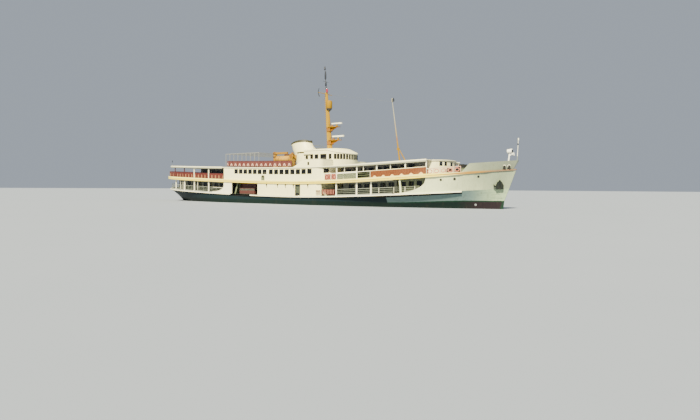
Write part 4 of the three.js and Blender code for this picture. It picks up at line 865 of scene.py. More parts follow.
@dataclass(frozen=True)
class FramePaint(Coating):
    """White posts, with the rails between them in grey."""

    name: str = "frame_paint"
    posts: tuple[float, ...] = (-30.1, -26.6, -23.4, -19.1, 11.02, 14.75, 17.2, 21.95)
    half_post: float = 0.12
    swept_end: Flat = (-17.9, -12.3)
    white: Colour = (0.90, 0.87, 0.66)
    grey: Colour = (0.26, 0.28, 0.24)

    def mix(self, s: Surface) -> None:
        """Mixes the paint."""
        mask = s.step(s.rise, 1.06, 1.08)
        for low, high in (*((x - self.half_post, x + self.half_post) for x in self.posts), self.swept_end):
            mask = (mask + s.between(s.x, low, high)).clamped()
        paint = s.blend(mask, self.grey, self.white)
        s.finish(s.weather(paint, paint, (0.20, 0.15, 0.09), 0.4, 0.2, 0.3))


@dataclass(frozen=True)
class CanopyFramePaint(Coating):
    """White posts, beam and rails of the fore promenade, with the bow deck's rail in peach."""

    name: str = "canopy_frame_paint"
    white: Colour = (0.90, 0.87, 0.66)
    peach: Colour = (0.62, 0.36, 0.24)
    change: float = 26.0

    def mix(self, s: Surface) -> None:
        """Mixes the paint."""
        paint = s.blend(s.around(s.x, self.change, 0.02), self.white, self.peach)
        s.finish(s.weather(paint, paint, (0.30, 0.20, 0.12), 0.4, 0.2, 0.25))


@dataclass(frozen=True)
class DeckSurface(Coating):
    """A deck: planked or canvas-painted on top, white on its edge, with painted shade on its underside and along the
    lower band of its edge, and the stern's staff.
    """

    name: str
    planked: bool = True
    top: Colour = (0.19, 0.20, 0.18)
    worn: Colour = (0.25, 0.25, 0.225)
    under: Colour = (0.80, 0.76, 0.50)
    shade: Colour = (0.20, 0.21, 0.15)
    staff: Colour = (0.16, 0.17, 0.19)
    lamp: Colour = (0.010, 0.011, 0.014)

    def mix(self, s: Surface) -> None:
        """Mixes the deck."""
        slope = s.parts(s.take(s.node("ShaderNodeNewGeometry"), "Normal"))[2]
        facing = s.step(slope, 0.6, 0.8)
        if self.planked:
            top = s.group(PLANKS, Vector=s.where, Dark=(0.10, 0.068, 0.042), Light=(0.22, 0.17, 0.115), Width=0.07)
        else:
            top = s.weather(self.top, self.worn, (0.075, 0.07, 0.055), 0.7, 0.5, 0.15)
        rise = s.rise
        stern = s.step(s.x, -16.3, -16.4)
        # Painted shade on the underside and on the lower band of the edge.
        low = s.math("MAXIMUM", s.step(rise, -0.085, -0.11), s.step(slope, -0.6, -0.8))
        edge = s.layers(
            self.under,
            (low * 0.85, self.shade),
            (stern * s.step(rise, 0.10, 0.16), self.staff),
            (stern * s.step(rise, 0.58, 0.62), self.lamp),
        )
        side = s.weather(edge, edge, (0.2, 0.14, 0.07), 0.45, 0.2, 0.2)
        colour = s.blend(facing, side["Color"], top["Color"])
        s.finish({"Color": colour, "Roughness": side["Roughness"] + facing * 0.2, "Height": top["Height"] * facing})


@dataclass(frozen=True)
class Glass(Coating):
    """Dark window glass that shows a little of a lit cabin behind."""

    name: str = "window_glass"
    deep: Colour = (0.006, 0.006, 0.006)
    light: Colour = (0.035, 0.033, 0.028)

    def mix(self, s: Surface) -> None:
        """Mixes the glass."""
        patch = s.step(s.noise(s.where, 2.6, 2, (1, 1, 2.5)), 0.55, 0.75)
        s.set(Base_Color=s.blend(patch, self.deep, self.light), Roughness=patch * 0.1 + 0.05)
        s.set(IOR=1.5, Specular_IOR_Level=0.35)
        s.bump(s.noise(s.where, 3.0, 2), 0.002, 0.3)


class Finish(Enum):
    """The plain paints of nodes and fittings."""

    # Inner walls of the covered decks: a grey-green that is partly their paint and partly painted shade for the decks
    # above them.
    INNER = Paint("inner_wall_paint", (0.17, 0.175, 0.15), (0.21, 0.21, 0.17), (0.08, 0.065, 0.045), 0.5, 0.35, 0.1)
    WHITE = Paint("fitting_white", (0.90, 0.87, 0.66), (0.76, 0.72, 0.54), (0.40, 0.30, 0.17), 0.38, 0.2, 0.25)
    RED = Paint("rail_red", (0.112, 0.0170, 0.0115), (0.17, 0.036, 0.022), (0.08, 0.012, 0.008), 0.45, 0.35, 0.2)
    ROSE = Paint("rail_rose", (0.080, 0.0145, 0.0145), (0.11, 0.030, 0.026), (0.04, 0.012, 0.012), 0.5, 0.4, 0.2)
    CREAM = Paint("panel_cream", (0.78, 0.56, 0.22), (0.70, 0.50, 0.24), (0.35, 0.16, 0.05), 0.45, 0.3, 0.1)
    SAGE = Paint("sage_grey", (0.125, 0.15, 0.085), (0.16, 0.18, 0.11), (0.055, 0.055, 0.03), 0.5, 0.4, 0.15)
    YELLOW = Paint("mast_yellow", (0.27, 0.138, 0.0015), (0.31, 0.16, 0.008), (0.17, 0.035, 0.002), 0.4, 0.6, 0.5)
    ORANGE = Paint(
        "boat_orange", (0.41, 0.215, 0.016), (0.56, 0.38, 0.10), (0.11, 0.035, 0.008), 0.3, 0.5, 0.0, coat=0.4
    )
    BUFF = Paint("buff", (0.30, 0.15, 0.03), (0.40, 0.24, 0.08), (0.12, 0.045, 0.01), 0.5, 0.5, 0.3)
    BROWN = Paint("band_brown", (0.055, 0.016, 0.008), (0.075, 0.028, 0.013), (0.025, 0.01, 0.006), 0.5, 0.3, 0.1)
    BLACK = Paint(
        "black_steel", (0.008, 0.009, 0.010), (0.018, 0.018, 0.018), (0.035, 0.022, 0.015),
        0.5, 0.4, 0.35, metallic=0.2,
    )
    GREY = Paint("fitting_grey", (0.11, 0.12, 0.115), (0.14, 0.145, 0.135), (0.06, 0.05, 0.035), 0.5, 0.4, 0.2)
    OLIVE = Paint("funnel_rim", (0.030, 0.028, 0.009), (0.048, 0.042, 0.017), (0.014, 0.011, 0.007), 0.55, 0.4, 0.2)
    BRONZE = Paint(
        "propeller_bronze", (0.38, 0.22, 0.065), (0.24, 0.18, 0.09), (0.08, 0.10, 0.07), 0.3, 0.4, 0.0, metallic=0.9
    )
    BOTTOM = Paint("antifouling_red", (0.075, 0.016, 0.013), (0.10, 0.03, 0.023), (0.026, 0.026, 0.02), 0.75, 0.5, 0.1)
    LAMP_RED = Paint(
        "lamp_red", (0.30, 0.018, 0.045), (0.28, 0.03, 0.05), (0.08, 0.015, 0.02), 0.15, 0.1, 0.0, coat=0.6
    )
    RUSTY = Paint("rusty_orange", (0.21, 0.082, 0.0015), (0.28, 0.135, 0.004), (0.075, 0.018, 0.004), 0.55, 0.5, 0.5)
    EMBER = Paint("rail_ember", (0.130, 0.030, 0.0060), (0.165, 0.050, 0.012), (0.075, 0.014, 0.006), 0.5, 0.35, 0.15)
    AMBER = Paint("rail_amber", (0.205, 0.068, 0.016), (0.28, 0.115, 0.03), (0.10, 0.025, 0.01), 0.45, 0.3, 0.1)
    PEACH = Paint("rail_peach", (0.66, 0.43, 0.33), (0.62, 0.43, 0.33), (0.24, 0.085, 0.035), 0.45, 0.3, 0.1)
    SAND = Paint("rail_sand", (0.31, 0.150, 0.068), (0.34, 0.20, 0.10), (0.15, 0.06, 0.025), 0.45, 0.3, 0.1)
    MAUVE = Paint("rail_mauve", (0.22, 0.072, 0.062), (0.27, 0.12, 0.10), (0.08, 0.02, 0.016), 0.45, 0.3, 0.1)
    BLUSH = Paint("rail_blush", (0.48, 0.165, 0.115), (0.50, 0.23, 0.16), (0.16, 0.055, 0.035), 0.45, 0.3, 0.1)
    MILK = Paint("milk_grey", (0.18, 0.20, 0.165), (0.17, 0.18, 0.145), (0.08, 0.07, 0.045), 0.42, 0.35, 0.2)
    DOOR = Paint("door_green", (0.055, 0.066, 0.045), (0.07, 0.08, 0.055), (0.025, 0.022, 0.015), 0.5, 0.4, 0.15)
    CABIN = Paint("cabin_maroon", (0.075, 0.022, 0.019), (0.10, 0.04, 0.032), (0.07, 0.03, 0.025), 0.55, 0.5, 0.2)
    AWNING = Paint("awning_beige", (0.235, 0.235, 0.215), (0.23, 0.225, 0.20), (0.18, 0.15, 0.10), 0.5, 0.3, 0.15)
    ANCHOR = Paint(
        "anchor_green", (0.0045, 0.0085, 0.0060), (0.009, 0.014, 0.010), (0.018, 0.012, 0.007),
        0.55, 0.5, 0.4, metallic=0.1,
    )
    MARK = Paint("thruster_mark", (0.24, 0.26, 0.28), (0.20, 0.21, 0.22), (0.06, 0.045, 0.04), 0.5, 0.4, 0.3)
    DARK_LAMP = Paint(
        "dark_lamp", (0.012, 0.014, 0.022), (0.02, 0.022, 0.03), (0.02, 0.018, 0.016), 0.35, 0.2, 0.05, coat=0.3
    )
    STAY = Paint("stay_wire", (0.20, 0.21, 0.22), (0.24, 0.25, 0.26), (0.12, 0.10, 0.09), 0.4, 0.2, 0.05, metallic=0.6)
    BRIGHT = Paint("bright_white", (0.93, 0.93, 0.86), (0.86, 0.86, 0.80), (0.5, 0.48, 0.4), 0.25, 0.1, 0.05, coat=0.4)
    # Black rubber for the fender, and painted shade for the strip under the belt.
    RUBBER_AND_SHADE = Paint("black_rubber_and_shade", (0.007, 0.008, 0.008), (0.012, 0.012, 0.012), (0.025, 0.022, 0.018), 0.8, 0.4, 0.0)

    @property
    def material(self) -> bpy.types.Material:
        """The finish's material."""
        return self.value.material


# Windows.


@dataclass(frozen=True)
class Window:
    """One window: the middle of its pane on the wall's face, its outward direction in degrees, and its size."""

    x: float
    y: float
    facing: float
    width: float
    sill: float
    head: float

    def slab(self, shape: Shape, u: Flat, z: Flat, v: Flat) -> None:
        """Adds a block in the window's own axes: along the wall, in height, and outwards."""
        a = math.radians(self.facing)
        ox, oy = math.cos(a), math.sin(a)
        ring = [(u[0], v[0]), (u[1], v[0]), (u[1], v[1]), (u[0], v[1])]
        flat = [(self.x - oy * along + ox * out, self.y + ox * along + oy * out) for along, out in ring]
        shape.loft([[(x, y, height) for x, y in flat] for height in z])


@dataclass
class Glazing:
    """Panes and frames for a row of windows."""

    name: str
    windows: list[Window]
    depth: float = 0.02
    rim: float = 0.03
    frame: Finish = Finish.BLACK
    mullion: bool = False
    edge: float = 0.012
    lip: float = 0.012
    proud: float = 0.012
    lap: float = 0.004
    pane: float = 0.02
    half_bar: float = 0.018

    def build(self) -> None:
        """Makes the panes as one object and the frames as another."""
        glass, rims = shapes(self.name + "_glass", self.name + "_frames")
        back, r, lip, lap = -self.depth - 0.03, self.rim, self.lip, self.lap
        for w in self.windows:
            half, sill, head = w.width / 2, w.sill, w.head
            panes = (-half - lap, half + lap), (sill - lap, head + lap), (-self.depth - self.pane, -self.depth)
            w.slab(glass, *panes)
            w.slab(rims, (-half - self.edge, -half + r), (sill - lip, head + lip), (back, self.proud))
            w.slab(rims, (half - r, half + self.edge), (sill - lip, head + lip), (back, self.proud))
            w.slab(rims, (-half + r, half - r), (sill - lip, sill + r), (back, self.proud))
            w.slab(rims, (-half + r, half - r), (head - r, head + lip), (back, self.proud))
            if self.mullion:
                w.slab(rims, (-self.half_bar, self.half_bar), (sill + r, head - r), (back, 0.0))
        glass.build(Glass())
        rims.build(self.frame, bevel=0.005)


def side_windows(xs: list[float], width: float, half: float, line: DeckLine, sill: float, head: float) -> list[Window]:
    """Windows in both straight side walls of a house."""
    low, high = line.above(sill), line.above(head)
    return [Window(x, s * half, 90.0 * s, width, low(x), high(x)) for x in xs for s in BOTH_SIDES]


# Rails.


class Pattern(Enum):
    """What fills a bay of rail."""

    HILL = "hill"
    PEAK = "peak"
    PALES = "pales"
    RINGS = "rings"
    BARS = "bars"


@dataclass
class RailScreen:
    """The filling of a rail: boards, what stands out on them, and stanchions."""

    name: str
    track: Track
    pattern: Pattern
    hand: float
    pitch: float
    start: float = 0.0
    end: Optional[float] = None
    board: Optional[Finish] = None
    batten: Finish = Finish.RED
    relief: Finish = Finish.RED
    posts: Finish = Finish.WHITE
    proud: float = 0.0
    stanchion: float = 0.06
    foot: float = 0.17
    gap: float = 0.03

    def build(self) -> None:
        """Makes boards, battens, relief and stanchions, on both sides or round the stern."""
        parts = shapes(*(f"{self.name}_{part}" for part in ("boards", "battens", "relief", "posts")))
        end = self.track.length if self.end is None else self.end
        edges = row(self.start, end, max(1, round((end - self.start) / self.pitch)) + 1)
        for a, b in zip(edges, edges[1:]):
            self._bay(*parts[:3], a + self.gap, b - self.gap)
        for run in edges:
            ends = [self.track.at(run, z, self.proud) for z in (self.foot - 0.05, self.hand + 0.03)]
            parts[3].beam(*ends, self.stanchion, self.stanchion, AHEAD)
        for shape, finish in zip(parts, (self.board, self.batten, self.relief, self.posts)):
            if shape.verts:
                if self.track.path[0][1] < 0:
                    shape.mirrored()
                shape.build(finish)

    def _bar(self, shape: Shape, points: Sequence[Flat], width: float, out: float) -> None:
        """Adds a flat bar over points given as run and rise, on the rail's outboard face."""
        out += self.proud
        for (r0, z0), (r1, z1) in zip(points, points[1:]):
            mid = (r0 + r1) / 2
            face = Vector(self.track.at(mid, 0, out + 1.0)) - Vector(self.track.at(mid, 0, out))
            shape.beam(self.track.at(r0, z0, out), self.track.at(r1, z1, out), width, 0.02, tuple(face))

    def _patch(self, shape: Shape, points: Sequence[Flat], out: float) -> None:
        """Adds a thin plate whose outline is given as run and rise."""
        shape.loft([[self.track.at(r, z, self.proud + out + d) for r, z in points] for d in (0.012, -0.012)])

    def _bay(self, boards: Shape, battens: Shape, relief: Shape, a: float, b: float) -> None:
        """Fills one bay between two run lengths."""
        low, high = self.foot + 0.02, self.hand - 0.01
        mid, wide, tall = (a + b) / 2, b - a, self.hand - self.foot - 0.03

        def scaled(*figure: Flat) -> Plan:
            """A figure in shares of the bay, across from its middle and up from its foot, as run and rise."""
            return [(mid + u * wide, low + v * tall) for u, v in figure]

        if self.board is not None:
            self._patch(boards, [(a, low), (b, low), (b, high), (a, high)], -0.02)
        if self.pattern is Pattern.BARS:
            for rise in row(low + 0.18, high - 0.2, 3):
                self._bar(battens, [(a, rise), (b, rise)], 0.05, 0.0)
        elif self.pattern is Pattern.PALES:
            for run in row(a + 0.05, b - 0.05, 4):
                self._bar(battens, [(run, low), (run, high)], 0.07, 0.005)
            self._bar(relief, [(mid, low + 0.03), (mid, low + 0.72 * tall)], 0.24, 0.014)
            self._bar(battens, scaled((-0.5, 0.84), (0.5, 0.84)), 0.12, 0.012)
        elif self.pattern is Pattern.RINGS:
            turn = row(0, 2 * math.pi, 13)
            self._bar(relief, scaled(*((0.34 * math.cos(t), 0.5 + 0.33 * math.sin(t)) for t in turn)), 0.11, 0.006)
        else:
            for run in row(a + 0.07, b - 0.07, 6):
                self._bar(battens, [(run, low), (run, high)], 0.05, -0.004)
        if self.pattern is Pattern.HILL:
            hill = (-0.27, 0.04), (0.27, 0.04), (0.21, 0.15), (0.1, 0.29), (0.0, 0.35), (-0.1, 0.29), (-0.21, 0.15)
            turn = row(0.12, math.pi - 0.12, 9)
            arc = [(mid + 0.42 * wide * math.cos(t), low + 0.06 + 0.68 * tall * math.sin(t)) for t in turn]
            self._bar(relief, [(a - self.gap, high + 0.02), (b + self.gap, high + 0.02)], 0.05, 0.014)
            self._patch(relief, scaled(*hill), 0.022)
            self._bar(battens, arc, 0.06, 0.012)
        elif self.pattern is Pattern.PEAK:
            self._patch(relief, scaled((-0.30, 0.05), (0.30, 0.05), (0.09, 0.56), (-0.09, 0.56)), 0.022)
            self._patch(battens, scaled((-0.16, 0.1), (0.16, 0.1), (0.0, 0.4)), 0.04)


# Sub-assemblies.


def paint(node: str, finish: Finish) -> None:
    """Puts a finish on a CAD node that stays as it is."""
    mesh = frame["nodes"][node].data
    mesh.materials.clear()
    mesh.materials.append(finish.material)


def both(stem: str) -> tuple[str, str]:
    """Names of a part's starboard and port nodes."""
    return f"{stem}_stbd", f"{stem}_port"


class SubAssembly:
    """A group of CAD nodes and the fittings added to them.

    Its skins hold names of nodes, their finish, and the angle and deck line that skin() takes.
    """

    skins: ClassVar[tuple[tuple, ...]] = ()

    def dress(self) -> None:
        """Gives the group's nodes their finishes."""
        for nodes, *how in self.skins:
            for node in nodes:
                skin(node, *how)

    def build(self) -> None:
        """Adds the group's fittings."""
        raise NotImplementedError


@dataclass
class Hull(SubAssembly):
    """The hull and everything painted or fitted on its sides."""

    skins: ClassVar = (
        (("hull",), HullPaint(), 30, MAIN),
        (("belting",), Finish.WHITE, 40),
        (("fore_shell", "bow_bulwark"), FlankPaint(), 30),
        (("upper_deck_moulding",), MouldingPaint(), 30, UPPER),
        (both("anchor"), Finish.ANCHOR, 35),
        (both("propeller"), Finish.BRONZE, 40),
        (("rudder",), Finish.BOTTOM, 30),
    )
    portholes: tuple[Point, ...] = ((27.6, 3.93, 0.13), (29.3, 4.04, 0.15), (32.12, 4.37, 0.13))
    thruster: Point = (31.35, 0.55, 0.15)
    fairleads: tuple[Flat, ...] = ((34.9, 35.26), (35.38, 35.76))
    side: float = -6.51
    trees: dict[str, BVHTree] = field(default_factory=dict)

    def surface(self, x: float, z: float) -> Optional[tuple[Point, Point]]:
        """Where a ray from starboard meets the side, with the normal, in full-size metres."""
        nearest = None
        for node in ("fore_shell", "hull", "bow_bulwark"):
            if node not in self.trees:
                mesh = frame["nodes"][node].data
                faces = [tuple(face.vertices) for face in mesh.polygons]
                self.trees[node] = BVHTree.FromPolygons([v.co for v in mesh.vertices], faces)
            spot, normal, _, _ = self.trees[node].ray_cast(Vector((x, -8.0, z)) * SCALE, Vector(ACROSS))
            if spot is not None and (nearest is None or spot.y / SCALE < nearest[0][1]):
                nearest = tuple(spot / SCALE), tuple(normal.normalized())
        return nearest

    def build(self) -> None:
        """Adds portholes, the thruster's mark, chocks, strips along the belt and edge bars."""
        rims, glass, mark = shapes("porthole_rims", "porthole_glass", "thruster_rings")
        for x, z, r in self.portholes:
            at, out = self.surface(x, z)
            rim = [(r * 0.7, -0.02), (r * 1.25, -0.02), (r * 1.25, 0.03), (r * 1.1, 0.045), (r * 0.7, 0.02)]
            rims.lathe(rim, at, out, 18)
            glass.lathe([(0.001, -0.02), (r, -0.02), (r, 0.012), (0.001, 0.014)], at, out, 18)
        x, z, r = self.thruster
        mark.lathe([(0.001, -0.02), (r, -0.02), (r, 0.012), (0.001, 0.016)], *self.surface(x, z), 24)
        mark.mirrored().build(Finish.MARK)
        rims.mirrored().build(Finish.BLACK)
        glass.mirrored().build(Glass())
        self._chocks()
        self._belt()
        self._opening_rims()

    def _chocks(self) -> None:
        """Dark roller chocks in the bulwark's openings, under a pale lip."""
        chocks, lips = shapes("roller_chocks", "chock_lips")
        for (x0, x1), tilt in zip(self.fairleads, (0.05, -0.02)):
            low, mid = UPPER.height(x0) + 0.14, (x0 + x1) / 2
            y = self.surface(mid, low + 0.72)[0][1] + 0.1
            front = [
                (x0 - 0.02, y, low - 0.02),
                (x1 + 0.02, y + 0.1, low - 0.02),
                (x1 - 0.05, y + 0.06, low + 0.44),
                (mid + tilt, y + 0.04, low + 0.5),
                (x0 + 0.1, y, low + 0.3),
            ]
            chocks.prism(front, (0.0, 0.07, 0.0))
            for x in (x0 + 0.1, x1 - 0.1):
                chocks.tube([(x, y + 0.02, low), (x, y + 0.02, low + 0.4)], 0.05, sides=10)
            lip = [(x0 - 0.03, y - 0.05, low + 0.42), (mid, y - 0.03, low + 0.56), (x1 + 0.03, y + 0.03, low + 0.48)]
            lips.tube(lip, 0.035)
        chocks.mirrored().build(Finish.BLACK)
        lips.mirrored().build(Finish.WHITE)

    def _belt(self) -> None:
        """A black strip under the belt that stands for the belt's shadow as painted shade, and a fender in the aft
        entrance.
        """
        path, gap = side_path(MAIN_EDGE, -36.0, 30.0, 0.0), side_path(MAIN_EDGE, -12.7, -7.6, 0.0)
        under, fender = shapes("belt_shadow_strip", "entrance_fender")
        # Painted shade: a black strip for the shadow line under the belt.
        under.strake(path, -0.02, 0.1, MAIN.above(-0.26), MAIN.above(-0.172)).mirrored().build(Finish.RUBBER_AND_SHADE)
        fender.strake(gap, 0.08, 0.13, MAIN.above(-0.17), MAIN.above(0.03)).mirrored().build(Finish.RUBBER_AND_SHADE)

    def _opening_rims(self) -> None:
        """A half-round edge bar along the swept ends of the open main deck."""
        rim = Shape("opening_edge_bars")
        tip, sweep, steps = 25.65, 4.6, 16
        line = []
        for i in range(steps + 1):
            a = math.pi / 2 * i / steps
            x = tip - sweep + sweep * math.sin(a)
            z = mix(UPPER.height(x) - SLAB, MAIN.height(x) + 0.06, math.cos(a) ** 0.8)
            found = self.surface(x + 0.04, max(MAIN.height(x) + 0.02, z - 0.04) if i < steps else z - 0.08)
            if found is not None:
                line.append((x, found[0][1] - 0.01, z))
        rim.tube(line, 0.035, sides=8)
        foot, run, rise, head = -17.7, 3.1, 1.25, -14.6
        curve = []
        for a in row(0, math.pi / 2, 13):
            x = foot + run * math.sin(a)
            curve.append((x, self.side, MAIN.height(x) + 0.2 + rise * (1 - math.cos(a))))
        rim.tube([*curve, (head, self.side, UPPER.height(head) - 0.3)], 0.035, sides=8)
        rim.mirrored().build(Finish.WHITE)


@dataclass
class Decks(SubAssembly):
    """Deck surfaces and the houses that stand on them."""

    white: ClassVar = (
        "upper_saloon_mid",
        "wheelhouse",
        "wheelhouse_roof",
        *both("bridge_wing"),
        "lower_house_mid",
        "funnel",
        "upper_saloon_fore",
        *both("bridge_door"),
    )
    skins: ClassVar = (
        (("upper_deck",), DeckSurface("upper_deck_planks"), 20, UPPER),
        (("roof_deck",), DeckSurface("roof_canvas", planked=False, under=(0.92, 0.88, 0.62)), 20, ROOF),
        (white, HouseWhite(), 32),
        (("lower_saloon_aft", "lower_saloon_fore", "upper_saloon_aft"), Finish.INNER, 32),
        (("main_frame_aft", *both("main_frame_fore")), FramePaint(), 30, MAIN),
        (both("upper_frame_fore"), CanopyFramePaint(), 30),
    )
    painted: ClassVar = (
        (("awning_frame",), Finish.AWNING),
        (both("side_door"), Finish.DOOR),
        ((*both("gangway_gate"), "upper_frame_aft", "boat_deck_rail"), Finish.ROSE),
        (("stair",), Finish.SAGE),
        (("helm",), Finish.BROWN),
    )
    wall: float = -6.49

    def dress(self) -> None:
        """Gives decks and houses their finishes."""
        super().dress()
        for nodes, finish in self.painted:
            for node in nodes:
                paint(node, finish)

    def build(self) -> None:
        """Adds the glazing of every house, and what hangs on its sides."""
        mid = row(-11.3, -4.2, 7) + row(-2.7, 5.8, 8)
        Glazing("mid_windows", side_windows(mid, 0.8, 6.5, UPPER, 1.36, 2.08), edge=0.07, lip=0.05).build()
        for name, xs, width, half in (
            ("upper_fore_windows", row(11.8, 22.9, 9), 0.95, 4.2),
            ("upper_aft_windows", row(-22.8, -16, 6), 1.0, 4.3),
        ):
            Glazing(name, side_windows(xs, width, half, UPPER, 0.95, 1.85), mullion=True).build()
        for name, xs, width, split in (
            ("lower_aft_windows", row(-29.2, -16.2, 9), 1.0, True),
            ("lower_fore_windows", row(12.4, 19.6, 6), 1.0, True),
            ("shell_windows", row(21.6, 24.2, 3), 0.9, False),
        ):
            panes = side_windows(xs, width, 4.3, MAIN, 0.95, 1.75)
            Glazing(name, panes, frame=Finish.SAGE, mullion=split).build()
        corner = [Window(8.9, s * 6.16, s * 58.5, 0.80, 5.1, 5.7) for s in BOTH_SIDES]
        Glazing("corner_windows", corner, depth=0.09).build()
        nose = [Window(26.98, 0.0, 0.0, 0.66, 5.93, 6.5)]
        for y, width, x, facing in ((1.5, 0.5, 26.83, 11.0), (2.41, 0.52, 26.55, 22.0)):
            nose += [Window(x, s * y, s * facing, width, 5.93, 6.5) for s in BOTH_SIDES]
        Glazing("nose_windows", nose, depth=0.04).build()
        self._hooks()
        self._locker()
        self._door_trim()
        self._entrance()
        self._loops()

    def _hooks(self) -> None:
        """Hooks under the moulding, and the plates below them."""
        hooks, drops = shapes("side_hooks", "hook_plates")
        for x in (-3.68, -1.11, 0.68, 2.43, 5.5):
            z = UPPER.height(x) - 0.30
            hooks.box((x - 0.08, -6.62, z - 0.22), (x + 0.08, self.wall, z))
            hooks.tube([(x, -6.6, z - 0.18), (x, -6.66, z - 0.26), (x, -6.6, z - 0.32)], 0.03)
            drops.box((x - 0.06, -6.53, z - 0.62), (x + 0.06, self.wall, z - 0.3))
        hooks.mirrored().build(Finish.BLACK)
        drops.mirrored().build(Finish.INNER)

    def _locker(self) -> None:
        """The hooded locker on the starboard side."""
        locker, hood = shapes("side_locker", "side_locker_hood")
        x0, x1, z0, z1, y, back = -4.82, -4.26, 3.86, 4.52, -6.6, -6.48
        locker.box((x0, y, z0), (x1, back, z1))
        locker.box((x0 - 0.03, y - 0.02, z0 - 0.04), (x1 + 0.03, back, z0))
        mid = (x0 + x1) / 2
        arc = [(mid + 0.33 * math.cos(a), y - 0.04, z1 - 0.04 + 0.34 * math.sin(a)) for a in row(0, math.pi, 11)]
        hood.prism(arc, (0, 0.18, 0))
        for start in (x0 - 0.04, x1 - 0.02):
            hood.box((start, y - 0.035, z0 + 0.1), (start + 0.06, back, z1))
        locker.build(Finish.SAGE, bevel=0.02)
        hood.build(Finish.OLIVE)

    def _door_trim(self) -> None:
        """Jambs, head and foot plate of the side doors."""
        jambs, z = Shape("door_jambs"), MAIN.height(3.3)
        for x in (2.76, 3.78):
            jambs.box((x, -6.53, z + 0.02), (x + 0.07, self.wall, z + 1.82))
        jambs.box((2.76, -6.53, z + 1.76), (3.85, self.wall, z + 1.84))
        jambs.box((2.9, -6.5, z + 0.05), (3.4, -6.36, z + 0.5))
        jambs.mirrored().build(Finish.BLACK)

    def _loops(self) -> None:
        """The loop rail by the fore entrance."""
        loops = Shape("loop_rail")
        for x in (7.28, 7.52, 7.76, 8.0):
            loops.tube([(x, -6.56, 1.62), (x, -6.6, 2.3)], 0.035)
        loops.tube([(7.2, -6.58, 2.3), (8.1, -6.6, 2.32)], 0.045)
        loops.mirrored().build(Finish.RED)

    def _entrance(self) -> None:
        """Cabin bulkhead, a companion ladder and an inner rail behind the aft entrance."""
        wall, ladder, rail, pales = shapes("entrance_bulkhead", "entrance_ladder", "entrance_rail", "entrance_pales")
        low, high = MAIN.height(-9.0) + 0.06, UPPER.height(-12.4) - SLAB - 0.12
        foot, head, steps = (-12.25, low), (-11.55, high - 0.05), 8
        wall.box((-11.7, -5.15, low), (-7.7, -5.05, high))
        for y in (-5.9, -5.3):
            ladder.beam((foot[0], y, foot[1]), (head[0], y, head[1]), 0.34, 0.06, ACROSS)
        for k in range(steps):
            x, z = (mix(a, b, (k + 0.5) / steps) for a, b in zip(foot, head))
            ladder.box((x - 0.1, -5.87, z - 0.015), (x + 0.16, -5.33, z + 0.015))
        for x in row(-10.9, -7.3, 19):
            pales.box((x - 0.025, -5.98, low), (x + 0.025, -5.94, low + 0.95))
        rail.box((-11.0, -6.0, low + 0.95), (-7.2, -5.92, low + 1.03))
        rail.box((-11.0, -5.99, low + 0.08), (-7.2, -5.955, low + 0.62))
        wall.mirrored().build(Finish.CABIN)
        ladder.mirrored().build(Finish.SAGE)
        rail.mirrored().build(Finish.CABIN)
        pales.mirrored().build(Finish.MILK)


